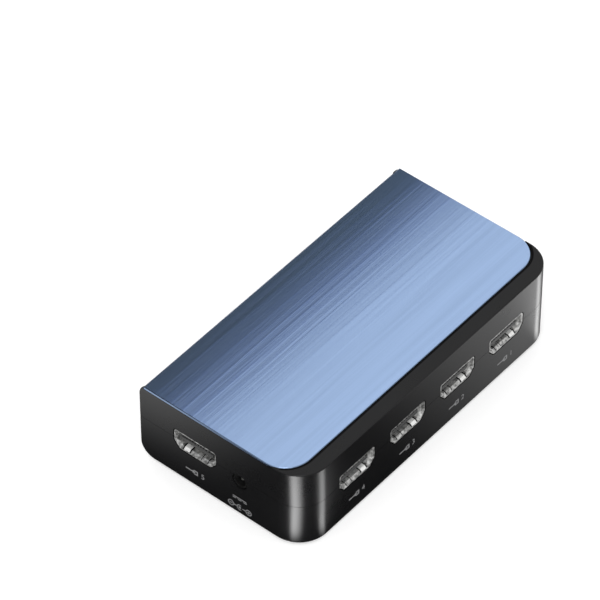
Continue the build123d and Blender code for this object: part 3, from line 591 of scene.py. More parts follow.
def moved(places: Iterable[Matrix], across: float = 0.0, out: float = 0.0) -> list[Matrix]:
    """Places moved along their own X and Z."""
    return [place @ Matrix.Translation((across, 0.0, out)) for place in places]


def placed_together(mesh: Mesh, places: Iterable[Matrix]) -> Mesh:
    """Joins copies of one mesh.

    Args:
        mesh: The mesh to copy.
        places: Where each copy goes.

    Returns:
        One mesh that holds all the copies.
    """
    joined = bmesh.new()
    for place in places:
        copy = mesh.copy()
        copy.transform(place)
        joined.from_mesh(copy)
        bpy.data.meshes.remove(copy)
    return finished(joined, mesh.name)


def closed_tube(rings: Iterable[Sequence[Sequence[float]]]) -> Mesh:
    """Closes a skin over rings of points, with a flat cap at each end.

    Args:
        rings: The tube's cross-sections, each with as many points and in the same order.

    Returns:
        The closed mesh.
    """
    form = bmesh.new()
    rows = [[form.verts.new(point) for point in ring] for ring in rings]
    for a, b in zip(rows, rows[1:]):
        for i, _ in enumerate(a):
            form.faces.new((a[i - 1], a[i], b[i], b[i - 1]))
    form.faces.new(rows[0])
    form.faces.new(rows[-1])
    bmesh.ops.recalc_face_normals(form, faces=form.faces)
    return finished(form, "tube")


def on_circle(centre: Point, radius: float, angle: float) -> Point:
    """The point of a circle at an angle in radians, anticlockwise from the right."""
    return centre[0] + radius * math.cos(angle), centre[1] + radius * math.sin(angle)


@dataclass
class PieceBook:
    """Takes every finished piece: its finish, its body and the CAD node that it stands for."""

    slots: Mapping[str, str]
    replaced: set[str] = field(default_factory=set)
    count: int = 0

    def add(self, mesh: Mesh, name: str, finish: Finish, body: Body = Body.BOX) -> Object:
        """Makes a piece of a finished mesh.

        Args:
            mesh: The mesh, with its place in its points.
            name: The piece's own name.
            finish: Its finish.
            body: The CAD body that carries it.

        Returns:
            The piece.
        """
        mesh.name = name
        mesh.materials.clear()
        mesh.materials.append(finish.material())
        piece = scene_object(name, mesh)
        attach(piece, body.value)
        self.count += 1
        log.info("%s: %d faces on %s", name, len(mesh.polygons), body.value)
        return piece

    def stand_in(self, node: str, finish: Finish | None = None, name: str | None = None) -> None:
        """Makes a smooth copy of a CAD node and shows it in the node's place.

        Args:
            node: The CAD node.
            finish: Its finish, where it isn't the one of the node's slot.
            name: The copy's own name, where it isn't the node's with an ending.
        """
        form = bmesh.new()
        form.from_mesh(frame["nodes"][node].data)
        bmesh.ops.remove_doubles(form, verts=form.verts, dist=MERGE_DISTANCE)
        form.verts.index_update()
        mesh = bpy.data.meshes.new(node)
        faces = [[point.index for point in face.verts] for face in form.faces]
        mesh.from_pydata([point.co for point in form.verts], [], faces)
        form.free()
        mesh.shade_smooth()
        mesh.set_sharp_from_angle(angle=SHARP_ANGLE)
        slot = self.slots[node]
        body = Body(frame["nodes"][node]["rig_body"])
        piece = self.add(mesh, name or f"{node}_surface", finish or FINISHES[slot], body)
        flatten = piece.modifiers.new("even_flats", "WEIGHTED_NORMAL")
        flatten.keep_sharp = True
        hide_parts(node)
        self.replaced.add(node)

    def paint_rest(self) -> None:
        """Gives the CAD nodes that no piece replaces the finish of their slot."""
        for node in sorted(set(frame["nodes"]) - self.replaced):
            mesh = frame["nodes"][node].data
            mesh.materials.clear()
            mesh.materials.append(FINISHES[self.slots[node]].material())
            log.info("%s: painted as %s", node, self.slots[node])


class RowTree:
    """A Geometry Nodes tree with named inputs, whose result is baked to a plain mesh."""

    def __init__(self, name: str, values: Mapping[str, Any]) -> None:
        """Makes an empty tree.

        Args:
            name: The tree's name.
            values: The tree's inputs by name, with the values that the bake uses.
        """
        self.tree = bpy.data.node_groups.new(name, "GeometryNodeTree")
        self.recipe = Recipe(self.tree)
        self.values: dict[str, Any] = {}
        kinds = {int: "NodeSocketInt", float: "NodeSocketFloat", tuple: "NodeSocketVector"}
        sockets = self.tree.interface
        for label, value in values.items():
            kind = kinds.get(type(value), "NodeSocketMaterial")
            item = sockets.new_socket(label, in_out="INPUT", socket_type=kind)
            self.values[item.identifier] = value
        sockets.new_socket("Geometry", in_out="OUTPUT", socket_type="NodeSocketGeometry")
        self.inputs = self.recipe.node("NodeGroupInput").outputs

    @staticmethod
    def centred(count: int, pitch: float, y: float, z: float) -> dict[str, Any]:
        """The inputs of a row along X that is centred on zero, at a given Y and Z."""
        start = (-pitch * (count - 1) / 2, y, z)
        return {"Count": count, "Start": start, "Step": (pitch, 0.0, 0.0)}

    def node(self, kind: str, settings: Settings = None, inputs: Inputs = None) -> NodeSocket:
        """Adds one node of the tree and gives its first output."""
        return self.recipe.node(kind, settings, inputs).outputs[0]

    def row(self) -> NodeSocket:
        """Adds a row of points, from the tree's Count, Start and Step.

        Returns:
            The socket that carries the points.
        """
        keys = {"Count": "Count", "Start Location": "Start", "Offset": "Step"}
        inputs = {socket: self.inputs[key] for socket, key in keys.items()}
        return self.node("GeometryNodeMeshLine", inputs=inputs)

    def copies(
        self, points: NodeSocket, shape: NodeSocket, scale: Any = (1.0, 1.0, 1.0)
    ) -> NodeSocket:
        """One copy of a shape on each point."""
        inputs = {"Points": points, "Instance": shape, "Scale": scale}
        return self.node("GeometryNodeInstanceOnPoints", inputs=inputs)

    def bake(self, geometry: NodeSocket) -> Mesh:
        """Ends the tree and turns its result into a plain mesh.

        Args:
            geometry: The socket that carries the finished copies.

        Returns:
            The mesh.
        """
        real = self.node("GeometryNodeRealizeInstances", inputs={"Geometry": geometry})
        inputs = {"Geometry": real, "Material": self.inputs["Finish"]}
        dressed = self.node("GeometryNodeSetMaterial", inputs=inputs)
        self.recipe.node("NodeGroupOutput", inputs={0: dressed})
        carrier = scene_object("carrier", bpy.data.meshes.new("carrier"))
        modifier = carrier.modifiers.new("row", "NODES")
        modifier.node_group = self.tree
        for identifier, value in self.values.items():
            modifier[identifier] = value
        return baked(carrier)


@dataclass
class Drawing:
    """A flat drawing in ink: outlines and digits, pressed to a thin solid on a face."""

    face: Face
    middle: Vector
    ink_thickness: float = 0.02 * MM
    digit_share: float = 0.7
    digit_steps: int = 4
    disc_steps: int = 24
    arc_step: float = 12.0
    arc_least_steps: int = 8
    outlines: list[list[Point]] = field(default_factory=list)
    digits: list[Mesh] = field(default_factory=list)

    def bar(self, low: Point, high: Point) -> None:
        """Adds a filled rectangle between its lower left and its upper right corner."""
        self.outlines.append([low, (high[0], low[1]), high, (low[0], high[1])])

    def disc(self, centre: Point, radius: float) -> None:
        """Adds a filled circle."""
        angles = [i * math.tau / self.disc_steps for i in range(self.disc_steps)]
        self.outlines.append([on_circle(centre, radius, angle) for angle in angles])

    def arc(self, centre: Point, radius: float, line: float, start: float, end: float) -> None:
        """Adds a bent line.

        Args:
            centre: The arc's centre.
            radius: The radius of the line's middle.
            line: The line's width.
            start: Where it starts, in degrees from the right, anticlockwise.
            end: Where it ends.
        """
        steps = max(self.arc_least_steps, round((end - start) / self.arc_step))
        angles = [math.radians(start + (end - start) * i / steps) for i in range(steps + 1)]
        inner, outer = radius - line / 2, radius + line / 2
        for a, b in zip(angles, angles[1:]):
            corners = ((inner, a), (outer, a), (outer, b), (inner, b))
            self.outlines.append([on_circle(centre, *corner) for corner in corners])

    def arrow(self, start: float, end: float, line: float, head: float) -> None:
        """Adds a level arrow through the middle of the drawing.

        Args:
            start: Where its tail is.
            end: Where its tip is.
            line: The width of its shaft.
            head: The length of its head, which is as wide.
        """
        neck = end - math.copysign(head, end - start)
        self.bar((start, -line / 2), (neck, line / 2))
        self.outlines.append([(neck, -head / 2), (end, 0.0), (neck, head / 2)])

    def digit(self, number: int, centre: Point, height: float) -> None:
        """Adds a digit of the plain built-in face, with its back on the face of the box.

        Args:
            number: What it says.
            centre: Its middle.
            height: How high it is.
        """
        curve = bpy.data.curves.new("digit", "FONT")
        curve.body = str(number)
        curve.align_x, curve.align_y = "CENTER", "CENTER"
        curve.size = height / self.digit_share
        curve.extrude = self.ink_thickness / 2
        curve.resolution_u = self.digit_steps
        mesh = baked(scene_object("digit", curve))
        mesh.transform(Matrix.Translation((*centre, self.ink_thickness / 2)))
        self.digits.append(mesh)

    def mesh(self) -> Mesh:
        """Presses the whole drawing to one closed mesh on its face.

        Returns:
            The mesh.
        """
        form = bmesh.new()
        for outline in self.outlines:
            form.faces.new([form.verts.new((x, y, 0.0)) for x, y in outline])
        bmesh.ops.remove_doubles(form, verts=form.verts, dist=MERGE_DISTANCE)
        # The walls are made one by one, because an extrusion orders them differently each run.
        rise = Vector((0.0, 0.0, self.ink_thickness))
        rims = [tuple(edge.verts) for edge in form.edges if edge.is_boundary]
        tops = {point: form.verts.new(point.co + rise) for point in form.verts[:]}
        for face in form.faces[:]:
            form.faces.new([tops[point] for point in face.verts])
        for a, b in rims:
            form.faces.new((a, b, tops[b], tops[a]))
        for digit in self.digits:
            form.from_mesh(digit)
            bpy.data.meshes.remove(digit)
        bmesh.ops.remove_doubles(form, verts=form.verts, dist=MERGE_DISTANCE)
        bmesh.ops.recalc_face_normals(form, faces=form.faces)
        mesh = finished(form, "drawing")
        mesh.transform(self.face.plane(self.middle))
        return mesh


# Sub-assemblies


@dataclass
class Housing:
    """The glossy shells and the brushed plate in their top, with a dark line of painted shade along
    its edge.
    """

    plate_corner_radius: float = 8.7 * MM
    line_start: float = 0.3 * MM
    line_width: float = 0.55 * MM
    line_thickness: float = 0.01 * MM
    line_trim: float = 30.0
    corner_steps: int = 16

    def _dark_line(self) -> Mesh:
        """Painted shade on the rim: a dark strip along the plate's near side and round its near
        corners.

        Returns:
            The line's mesh.
        """
        low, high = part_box("top_plate")
        radius, thick = self.plate_corner_radius, self.line_thickness
        near, far = radius + self.line_start, radius + self.line_start + self.line_width
        section = ((near, 0), (far, 0), (far, thick), (near, thick))
        swing = (90.0 - self.line_trim) / self.corner_steps
        rings = []
        for x, start in ((low.x + radius, 180.0 + self.line_trim), (high.x - radius, 270.0)):
            for i in range(self.corner_steps + 1):
                angle, centre = math.radians(start + i * swing), (x, low.y + radius)
                rings.append(
                    [(*on_circle(centre, reach, angle), high.z + lift) for reach, lift in section]
                )
        return closed_tube(rings)

    def build(self, book: PieceBook) -> None:
        """Shows smooth copies of the shells and of the plate, and adds the dark line of painted
        shade.

        Args:
            book: Takes the pieces.
        """
        for node in ("lower_shell", "upper_shell", "top_plate"):
            book.stand_in(node)
        # The dark line is painted shade: it stands for the shadow in the gap beside the plate.
        book.add(self._dark_line(), "plate_painted_shade_line", SHADE)


@dataclass
class VideoSockets:
    """Six video sockets, with the springs, leaves, dimples, noses and contact tips inside.

    Small pieces are made about a socket's axis, with its mouth at z = 0 and its depths below.
    """

    inputs: int = 5
    opening_width: float = 14.0 * MM
    opening_height: float = 4.55 * MM
    foot_width: float = 10.4 * MM
    side_height: float = 2.75 * MM
    flare_depth: float = 0.8 * MM
    flare_rise: float = 0.75 * MM
    dimple_spacing: float = 6.4 * MM
    dimple_depth: float = 4.5 * MM
    dimple_radius: float = 0.7 * MM
    dimple_rise: float = 0.26 * MM
    dimple_segments: int = 16
    dimple_rings: int = 10
    contact_pitch: float = 1.0 * MM
    contacts_on_top: int = 10
    contacts_below: int = 9
    tip_size: tuple[float, float, float] = (0.42 * MM, 0.07 * MM, 1.7 * MM)
    tip_depth: float = 2.0 * MM
    tongue_width: float = 11.4 * MM
    tongue_thickness: float = 1.25 * MM
    nose_setback: float = 0.9 * MM
    nose_end: float = 2.55 * MM
    nose_chamfer: float = 0.15 * MM
    spring_width: float = 2.0 * MM
    spring_lift: float = 0.06 * MM
    lit_slot_width: float = 0.45 * MM
    dull_slot_width: float = 0.25 * MM
    slot_lift: float = 0.03 * MM
    front_gap: float = 0.1 * MM
    front_reach: float = 4.0 * MM
    leaf_thickness: float = 0.06 * MM
    leaf_top: float = 0.6 * MM

    def names(self) -> list[str]:
        """The sockets' names: the inputs in order, then the output."""
        return [f"input_{i + 1}" for i in range(self.inputs)] + ["output"]

    def face_of(self, name: str) -> Face:
        """The face of the housing that a socket stands in."""
        ends = {f"input_{self.inputs}": Face.LEFT_END, "output": Face.RIGHT_END}
        return ends.get(name, Face.NEAR)

    def mouth(self, name: str) -> Vector:
        """The middle of a socket's mouth.

        Args:
            name: The socket's name.

        Returns:
            The point where its axis leaves the shell.
        """
        low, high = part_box(f"hdmi_shell_{name}")
        tongue_low, tongue_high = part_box(f"hdmi_insulator_{name}")
        return self.face_of(name).touch((tongue_low + tongue_high) / 2, low, high)

    def _dimples(self) -> Mesh:
        """The four pressed dimples of one socket's springs.

        Returns:
            The dimples' mesh.
        """
        values = {
            "Spacing": self.dimple_spacing,
            "Height": self.opening_height,
            "Radius": self.dimple_radius,
            "Flatness": (1.0, self.dimple_rise / self.dimple_radius, 1.0),
            "Finish": FINISHES["nickel"].material(),
        }
        tree = RowTree("spring_dimples", values)
        size = {"Size X": tree.inputs["Spacing"], "Size Y": tree.inputs["Height"]}
        corners = {**size, "Vertices X": 2, "Vertices Y": 2}
        grid = tree.node("GeometryNodeMeshGrid", inputs=corners)
        counts = {"Segments": self.dimple_segments, "Rings": self.dimple_rings}
        ball_inputs = {**counts, "Radius": tree.inputs["Radius"]}
        ball = tree.node("GeometryNodeMeshUVSphere", inputs=ball_inputs)
        return tree.bake(tree.copies(grid, ball, tree.inputs["Flatness"]))

    def _nose(self) -> Mesh:
        """The chamfered front of one tongue.

        Returns:
            The nose's mesh.
        """
        chamfer, start = self.nose_chamfer, self.nose_setback
        rings = []
        for depth, shrink in ((start, chamfer), (start + chamfer, 0), (self.nose_end, 0)):
            x, y = self.tongue_width / 2 - shrink, self.tongue_thickness / 2 - shrink
            rings.append([(-x, -y, -depth), (x, -y, -depth), (x, y, -depth), (-x, y, -depth)])
        return closed_tube(rings)

    def _tips(self, count: int, height: float) -> Mesh:
        """A row of worn contact tips across one face of a tongue.

        Args:
            count: How many contacts the row has.
            height: How far from the socket's axis the row lies.

        Returns:
            The row's mesh, about z = 0.
        """
        place = RowTree.centred(count, self.contact_pitch, height, 0.0)
        dress = {"Tip size": self.tip_size, "Finish": FINISHES["tin"].material()}
        tree = RowTree("contact_tips", {**place, **dress})
        tip = tree.node("GeometryNodeMeshCube", inputs={"Size": tree.inputs["Tip size"]})
        return tree.bake(tree.copies(tree.row(), tip))

    def _strip(self, width: float, lift: float) -> Mesh:
        """A thin strip down the flare and along the lower wall, in the middle of a socket.

        Args:
            width: How wide it is.
            lift: How far it stands off the wall.

        Returns:
            The strip's mesh.
        """
        wall, half = -self.opening_height / 2, width / 2
        slope = self.flare_rise / self.flare_depth
        path = (
            (wall - self.flare_rise + slope * self.front_gap, -self.front_gap),
            (wall, -self.flare_depth),
            (wall, -self.front_reach),
        )
        return closed_tube(
            [(-half, y, z), (half, y, z), (half, y + lift, z), (-half, y + lift, z)]
            for y, z in path
        )

    def _side_leaf(self, side: int) -> Mesh:
        """The pressed leaf on one side wall and on the slant below it.

        Args:
            side: 1 for the right wall, -1 for the left one.

        Returns:
            The leaf's mesh.
        """
        top, thick = self.opening_height / 2, self.leaf_thickness
        wall, foot = self.opening_width / 2, self.foot_width / 2
        start, bend = top - self.leaf_top, top - self.side_height
        outer = ((wall, start), (wall, bend), (foot, -top))
        inner = ((foot - thick, -top + thick), (wall - thick, bend + thick), (wall - thick, start))
        return closed_tube(
            [(side * x, y, z) for x, y in outer + inner]
            for z in (-self.flare_depth, -self.front_reach)
        )

    def _add_springs(self, book: PieceBook, mouths: Mapping[str, Matrix]) -> None:
        """Adds the fronts of each socket's two lower springs, one with a painted highlight, and
        painted shade in the slots beside them.

        Args:
            book: Takes the pieces.
            mouths: The sockets' mouths by name.
        """
        # The lit springs carry a painted highlight: a lighter copy of the nickel that the dull
        # springs keep.
        springs = (
            ("lit", 1, PAINTED_HIGHLIGHT_SPRING, self.lit_slot_width),
            ("dull", -1, FINISHES["nickel"], self.dull_slot_width),
        )
        for label, sign, finish, slot_width in springs:
            middles = []
            for name, mouth in mouths.items():
                side = -sign if self.face_of(name) is Face.LEFT_END else sign
                middles += moved([mouth], side * self.dimple_spacing / 2)
            spring = self._strip(self.spring_width, self.spring_lift)
            book.add(placed_together(spring, middles), f"{label}_springs", finish)
            # The slots are dark strips of painted shade, which stand for the shadow in each slot.
            beside = (self.spring_width + slot_width) / 2
            slot = self._strip(slot_width, self.slot_lift)
            slots = placed_together(slot, moved(middles, -beside) + moved(middles, beside))
            book.add(slots, f"{label}_spring_slot_shade", SHADE)

    def _add_leaves(self, book: PieceBook, mouths: Mapping[str, Matrix]) -> None:
        """Adds the side leaves, with a painted highlight that makes them lighter in the row than at
        the ends.

        Args:
            book: Takes the pieces.
            mouths: The sockets' mouths by name.
        """
        # The row's leaves carry a painted highlight; the end leaves keep the plain nickel.
        for label, in_row, finish in (("row", True, SIDE_LEAF_PAINTED_HIGHLIGHT), ("end", False, FINISHES["nickel"])):
            names = [name for name in mouths if (self.face_of(name) is Face.NEAR) is in_row]
            for side, where in ((-1, "left"), (1, "right")):
                leaves = placed_together(self._side_leaf(side), [mouths[name] for name in names])
                book.add(leaves, f"{label}_side_leaves_{where}", finish)

    def build(self, book: PieceBook) -> None:
        """Shows the sockets and adds their springs, leaves, dimples, noses and contact tips.

        Args:
            book: Takes the pieces.
        """
        mouths = {name: self.face_of(name).plane(self.mouth(name)) for name in self.names()}
        for name in mouths:
            book.stand_in(f"hdmi_shell_{name}", name=f"socket_shell_{name}")
            book.stand_in(f"hdmi_insulator_{name}", TONGUE, f"socket_insulator_{name}")
        dimples = placed_together(self._dimples(), moved(mouths.values(), out=-self.dimple_depth))
        dimples.shade_smooth()
        book.add(dimples, "spring_dimples", FINISHES["nickel"])
        self._add_springs(book, mouths)
        self._add_leaves(book, mouths)
        book.add(placed_together(self._nose(), mouths.values()), "tongue_noses", NOSE)
        height = (self.tongue_thickness + self.tip_size[1]) / 2
        rows = (("top", self.contacts_on_top, height), ("low", self.contacts_below, -height))
        for label, count, lift in rows:
            places = moved(mouths.values(), out=-self.tip_depth)
            tips = placed_together(self._tips(count, lift), places)
            book.add(tips, f"contact_tips_{label}", FINISHES["tin"])


class PowerInlet:
    """The round power inlet: its block and its centre pin."""

    def build(self, book: PieceBook) -> None:
        """Shows smooth copies of the block and the pin."""
        book.stand_in("dc_jack_housing", INLET_BLOCK)
        # The pin's darker plating is painted shade for the depth of the inlet.
        book.stand_in("dc_jack_pin", INLET_PIN_PAINTED_SHADE)


@dataclass
class FarFace:
    """The smoked window with its light spots and digits, and the button that slides in it."""

    lamps: int = 5
    lamp_pitch: float = 8.0 * MM
    spot_radius: float = 0.9 * MM
    spot_thickness: float = 0.02 * MM
    spot_sides: int = 28
    power_spot_radius: float = 0.72 * MM
    digit_height: float = 1.9 * MM
    digit_drop: float = 3.2 * MM
    sign_radius: float = 0.8 * MM
    sign_line: float = 0.24 * MM
    sign_arc: Span = (125.0, 415.0)
    sign_top: float = 1.15 * MM

    def _spots(self) -> Mesh:
        """A row of round light spots, flat on the drawing of the far face.

        Returns:
            The row's mesh.
        """
        sizes = {"Radius": self.spot_radius, "Thickness": self.spot_thickness}
        place = RowTree.centred(self.lamps, self.lamp_pitch, 0.0, self.spot_thickness / 2)
        tree = RowTree("light_spots", {**place, **sizes, "Finish": LIGHT_SPOT.material()})
        size = {"Radius": tree.inputs["Radius"], "Depth": tree.inputs["Thickness"]}
        inputs = {"Vertices": self.spot_sides, **size}
        spot = tree.node("GeometryNodeMeshCylinder", inputs=inputs)
        return tree.bake(tree.copies(tree.row(), spot))

    def build(self, book: PieceBook) -> None:
        """Shows the window and the button, and prints the digits and the power sign.

        Args:
            book: Takes the pieces.
        """
        book.stand_in("front_window")
        book.stand_in("select_button")
        low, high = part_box("front_window")
        lamp_low, lamp_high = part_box("power_led")
        middle = Vector((0.0, high.y, (low.z + high.z) / 2))
        spots = self._spots()
        spots.transform(Face.FAR.plane(middle))
        book.add(spots, "light_spots", LIGHT_SPOT)
        digits = Drawing(Face.FAR, middle)
        for i in range(self.lamps):
            across = self.lamp_pitch * (i - (self.lamps - 1) / 2)
            digits.digit(i + 1, (across, -self.digit_drop), self.digit_height)
        power, level, half = -(lamp_low.x + lamp_high.x) / 2, -self.digit_drop, self.sign_line / 2
        digits.disc((power, 0.0), self.power_spot_radius)
        digits.arc((power, level), self.sign_radius, self.sign_line, *self.sign_arc)
        digits.bar((power - half, level), (power + half, level + self.sign_top))
        book.add(digits.mesh(), "window_digits", DIGIT_INK)


@dataclass
class SideMarks:
    """The small printed marks under the sockets and round the power inlet."""

    drop: float = 9.5 * MM
    line: float = 0.42 * MM
    bracket_height: float = 1.7 * MM
    bracket_side: float = 0.9 * MM
    bracket_arm: float = 1.5 * MM
    arrow_tail: float = -3.5 * MM
    arrow_gap: float = 0.75 * MM
    arrow_head: float = 1.15 * MM
    digit_across: float = 2.7 * MM
    digit_height: float = 1.9 * MM
    sign_line: float = 0.3 * MM
    sign_arm: float = 0.5 * MM
    current_drop: float = 7.3 * MM
    current_reach: float = 2.5 * MM
    dashes: int = 3
    dash_gap: float = 0.7 * MM
    polarity_drop: float = 10.6 * MM
    ring_radius: float = 0.95 * MM
    ring_spacing: float = 3.15 * MM
    whole_ring: Span = (0.0, 360.0)
    open_ring: Span = (60.0, 300.0)
    dot_radius: float = 0.42 * MM

    def _socket_mark(self, sockets: VideoSockets, name: str, way: Arrow) -> Drawing:
        """The mark of one socket: a bracket and an arrow through it.

        Args:
            sockets: The sockets.
            name: The socket's name.
            way: Which way the arrow points.

        Returns:
            The drawing.
        """
        face = sockets.face_of(name)
        below = sockets.mouth(name) - Vector((0.0, 0.0, self.drop))
        mark = Drawing(face, face.touch(below, *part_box("lower_shell")))
        half, line, right = self.bracket_height / 2, self.line, self.bracket_side
        left = right - self.bracket_arm
        mark.bar((right - line, -half), (right, half))
        mark.bar((left, half - line), (right - line, half))
        mark.bar((left, -half), (right - line, -half + line))
        ends = (self.arrow_tail, right - self.arrow_gap)
        start, end = ends if way is Arrow.INWARDS else ends[::-1]
        mark.arrow(start, end, line, self.arrow_head)
        return mark

    def _inlet_marks(self) -> Drawing:
        """The signs of the inlet: direct current above, and the polarity of the plug below.

        Returns:
            The drawing.
        """
        pin_low, pin_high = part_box("dc_jack_pin")
        middle = Face.LEFT_END.touch((pin_low + pin_high) / 2, *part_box("lower_shell"))
        marks = Drawing(Face.LEFT_END, middle)
        half, arm = self.sign_line / 2, self.sign_arm
        ring, spread = self.ring_radius, self.ring_spacing
        reach, upper, lower = self.current_reach, -self.current_drop, -self.polarity_drop
        dash = (2 * reach - (self.dashes - 1) * self.dash_gap) / self.dashes
        marks.bar((-reach, upper + half), (reach, upper + 3 * half))
        for i in range(self.dashes):
            start = -reach + i * (dash + self.dash_gap)
            marks.bar((start, upper - 3 * half), (start + dash, upper - half))
        for side in (-1, 1):
            centre = side * spread
            marks.arc((centre, lower), ring, self.sign_line, *self.whole_ring)
            marks.bar((centre - arm, lower - half), (centre + arm, lower + half))
            wire = sorted((side * ring, side * (spread - ring)))
            marks.bar((wire[0], lower - half), (wire[1], lower + half))
        marks.bar((spread - half, lower + half), (spread + half, lower + arm))
        marks.bar((spread - half, lower - arm), (spread + half, lower - half))
        marks.arc((0.0, lower), ring, self.sign_line, *self.open_ring)
        marks.disc((0.0, lower), self.dot_radius)
        return marks

    def build(self, book: PieceBook, sockets: VideoSockets) -> None:
        """Prints the marks.

        Args:
            book: Takes the pieces.
            sockets: The sockets that the marks stand under.
        """
        *inputs, output = sockets.names()
        for number, name in enumerate(inputs, 1):
            mark = self._socket_mark(sockets, name, Arrow.INWARDS)
            mark.digit(number, (self.digit_across, 0.0), self.digit_height)
            book.add(mark.mesh(), f"mark_{name}", INK)
        mark = self._socket_mark(sockets, output, Arrow.OUTWARDS)
        book.add(mark.mesh(), f"mark_{output}", INK)
        book.add(self._inlet_marks().mesh(), "mark_power", INK)


class Underside:
    """The rubber feet and the case screws."""

    def build(self, book: PieceBook) -> None:
        """Shows smooth copies of the feet and of the screws."""
        for node in ("rubber_feet", "case_screws"):
            book.stand_in(node)


# Studio


@dataclass
class Camera:
    """The photograph's view: where the camera stands and how long its lens is."""

    place: tuple[float, float, float] = (-0.657338, -0.529393, 0.913192)
    elevation: float = 46.095
    lens: float = 264.083
    sensor: float = 36.0
    clip: Span = (0.05, 20.0)

    def build(self) -> None:
        """Makes the camera and hands it to the scene."""
        a, e = math.radians(-VIEW_TURN), math.radians(self.elevation)
        back = Vector((math.sin(a) * math.cos(e), -math.cos(a) * math.cos(e), math.sin(e)))
        right = Vector((math.cos(a), math.sin(a), 0.0))
        turn = Matrix((right, back.cross(right), back)).transposed()
        data = bpy.data.cameras.new("photo_camera")
        data.lens, data.sensor_width, data.sensor_fit = self.lens, self.sensor, "HORIZONTAL"
        data.clip_start, data.clip_end = self.clip
        camera = scene_object("photo_camera", data)
        camera.matrix_world = Matrix.Translation(self.place) @ turn.to_4x4()
        bpy.context.scene.camera = camera


@dataclass(frozen=True)
class Patch:
    """A soft patch of bright floor, which rises along X and along Y."""

    x_rise: Span
    y_rise: Span
    brightness: float

    def on_floor(self, x: Signal, y: Signal) -> Signal:
        """The patch's brightness over the floor."""
        return x.ramp(*self.x_rise) * y.ramp(*self.y_rise) * self.brightness


@dataclass(frozen=True)
class Streak:
    """An upright streak of light on a round corner: a bright strip of floor that it reflects.

    Angles are in degrees from the near side towards the left. The edges are shares of the width.
    """

    centre: Point
    turn: float
    spread: float
    brightness: float
    left_edge: float = 0.5
    right_edge: float = 0.5
    corner_radius: float = 9.6 * MM
    foot: float = 6.5 * MM
    tip: Span = (42.0 * MM, 24.0 * MM)

    def on_floor(self, x: Signal, y: Signal) -> Signal:
        """The strip of floor that shows as the streak.

        Args:
            x: The floor's X.
            y: The floor's Y.

        Returns:
            The strip's brightness over the floor.
        """
        angle, spread = math.radians(self.turn), math.radians(self.spread)
        away = 2 * angle - math.radians(VIEW_TURN)
        from_x = x - (self.centre[0] - self.corner_radius * math.sin(angle))
        from_y = y - (self.centre[1] - self.corner_radius * math.cos(angle))
        along = from_x * -math.sin(away) + from_y * -math.cos(away)
        across = from_x * -math.cos(away) + from_y * math.sin(away)
        width = self.corner_radius * math.sin(spread) + math.tan(2 * spread) * along
        strip = (across / width).between(-0.5, 0.5, self.left_edge, self.right_edge)
        return strip * along.ramp(0.0, self.foot) * along.ramp(*self.tip) * self.brightness


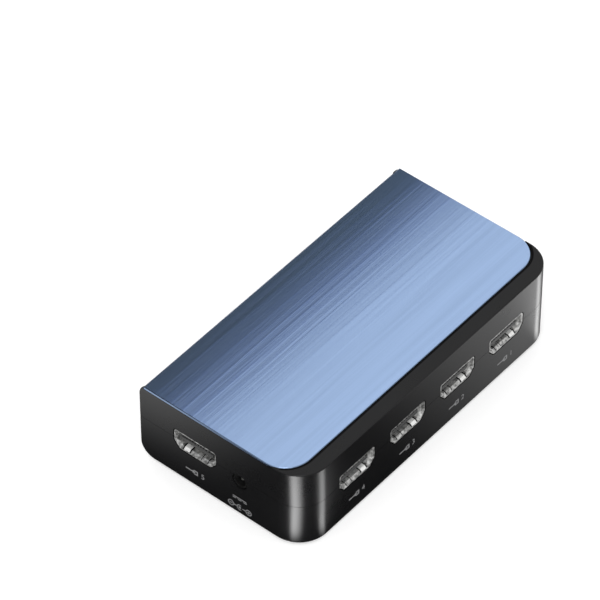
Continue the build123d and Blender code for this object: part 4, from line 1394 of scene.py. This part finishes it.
@dataclass
class Studio:
    """A pale floor in an even white room, with cards that only the glossy surfaces see."""

    room_light: float = 1.0
    floor_reach: float = 2.0
    floor_drop: float = 0.1 * MM
    floor_finish: Finish = Finish("pale_floor", (0.75, 0.75, 0.75), 0.9, specular=0.0, glow=0.35)
    mirror_reach: float = 0.3
    mirror_lift: float = 0.05 * MM
    card_height: float = 68.0 * MM
    card_start: float = 31.6 * MM
    card_reach: float = 0.6
    card_fade: float = 12.0 * MM
    card_edge: Colour = (0.05, 0.12, 0.42)
    card_left: Colour = (0.068, 0.07, 0.054)
    card_right: Colour = (0.09, 0.1, 0.083)
    card_blend: Span = (-30.0 * MM, 85.0 * MM)
    key_place: tuple[float, float, float] = (-0.9, -0.6, 1.3)
    key_size: float = 0.9
    key_power: float = 9.0
    floor_lights: tuple[Patch | Streak, ...] = (
        # What the near side, the left end, the right end and the far side reflect.
        Patch((-18.0 * MM, 85.0 * MM), (-26.0 * MM, -31.0 * MM), brightness=1.6),
        Patch((-55.0 * MM, -80.0 * MM), (-5.0 * MM, 45.0 * MM), brightness=1.75),
        Patch((85.0 * MM, 170.0 * MM), (-31.0 * MM, 0.0), brightness=2.2),
        Patch((-60.0 * MM, 50.0 * MM), (45.0 * MM, 130.0 * MM), brightness=2.2),
        # What the near left corner and the near right corner reflect.
        Streak((-46.2 * MM, -19.9 * MM), turn=57.0, spread=14.0, brightness=17.0, left_edge=1.2),
        Streak((-46.2 * MM, -19.9 * MM), turn=10.5, spread=9.5, brightness=7.0),
        Streak((46.2 * MM, -19.9 * MM), turn=-9.0, spread=9.0, brightness=4.6),
    )

    def _plane(
        self, name: str, low: Point, high: Point, height: float, material: Material
    ) -> Object:
        """Adds a level stage plane.

        Args:
            name: Its name.
            low: Its lower corner.
            high: Its upper corner.
            height: How high it lies.
            material: Its material.

        Returns:
            The plane.
        """
        mesh = bpy.data.meshes.new(name)
        corners = (low, (high[0], low[1]), high, (low[0], high[1]))
        mesh.from_pydata([(*corner, height) for corner in corners], [], [(0, 1, 2, 3)])
        mesh.materials.append(material)
        plane = scene_object(name, mesh)
        return plane

    def _cards(self) -> None:
        """Adds the two cards, which give off light and show in reflections alone."""
        near, lift = self.mirror_reach, self.mirror_lift
        start, reach, level = self.card_start, self.card_reach, self.card_height
        cards = (
            ("floor_card", (-near, -near), (near, near), lift, self._floor_glow),
            ("dark_card", (-reach, start), (reach, start + reach), level, self._dark_glow),
        )
        for name, low, high, height, glow in cards:
            material = bpy.data.materials.new(f"{name}_glow")
            recipe = Recipe.of(material)
            shader = recipe.node("ShaderNodeEmission", inputs=glow(recipe))
            recipe.node("ShaderNodeOutputMaterial", inputs={"Surface": shader.outputs[0]})
            card = self._plane(name, low, high, height, material)
            for ray in ("camera", "diffuse", "shadow", "transmission"):
                setattr(card, f"visible_{ray}", False)

    def _dark_glow(self, recipe: Recipe) -> dict[str, Any]:
        """The dark card: dim blue along its near edge, then a grey that lightens to the right.

        Args:
            recipe: The recipe of the card's material.

        Returns:
            The emission's colour.
        """
        x, y = recipe.axes()
        depth = y.ramp(self.card_start, self.card_start + self.card_fade)
        behind = recipe.tint(x.ramp(*self.card_blend), self.card_left, self.card_right)
        return {"Color": recipe.tint(depth, self.card_edge, behind)}

    def _floor_glow(self, recipe: Recipe) -> dict[str, Any]:
        """How bright the floor looks in the gloss: dark but for the patches and the strips."""
        x, y = recipe.axes()
        return {"Strength": sum(light.on_floor(x, y) for light in self.floor_lights)}

    def _key_light(self) -> None:
        """Adds a square soft light that points at the box."""
        data = bpy.data.lights.new("key_light", "AREA")
        data.size, data.energy = self.key_size, self.key_power
        light = scene_object("key_light", data)
        light.location = self.key_place
        light.rotation_euler = (-Vector(self.key_place)).to_track_quat("-Z", "Y").to_euler()

    def build(self) -> None:
        """Builds the room, the floor, the cards and the soft light."""
        world = bpy.data.worlds.new("white_room")
        bpy.context.scene.world = world
        recipe = Recipe.of(world)
        glow = {"Color": (1.0, 1.0, 1.0, 1.0), "Strength": self.room_light}
        room = recipe.node("ShaderNodeBackground", inputs=glow)
        recipe.node("ShaderNodeOutputWorld", inputs={"Surface": room.outputs[0]})
        reach, material = self.floor_reach, self.floor_finish.material()
        self._plane("floor", (-reach, -reach), (reach, reach), -self.floor_drop, material)
        self._cards()
        self._key_light()
        bpy.context.scene.view_settings.view_transform = "Standard"


def main() -> None:
    """Builds the sub-assemblies in order, then the studio and the camera, and logs how many pieces
    there are.
    """
    logging.basicConfig(level=logging.INFO, format="%(name)s %(message)s")
    rows = frame["record"]["subparts"]
    book = PieceBook({row["node"]: row["material_slot"] for row in rows})
    sockets = VideoSockets()
    for part in (Housing(), sockets, PowerInlet(), FarFace(), Underside()):
        part.build(book)
    SideMarks().build(book, sockets)
    book.paint_rest()
    Studio().build()
    Camera().build()
    log.info("%d pieces", book.count)


if __name__ == "__main__":
    main()
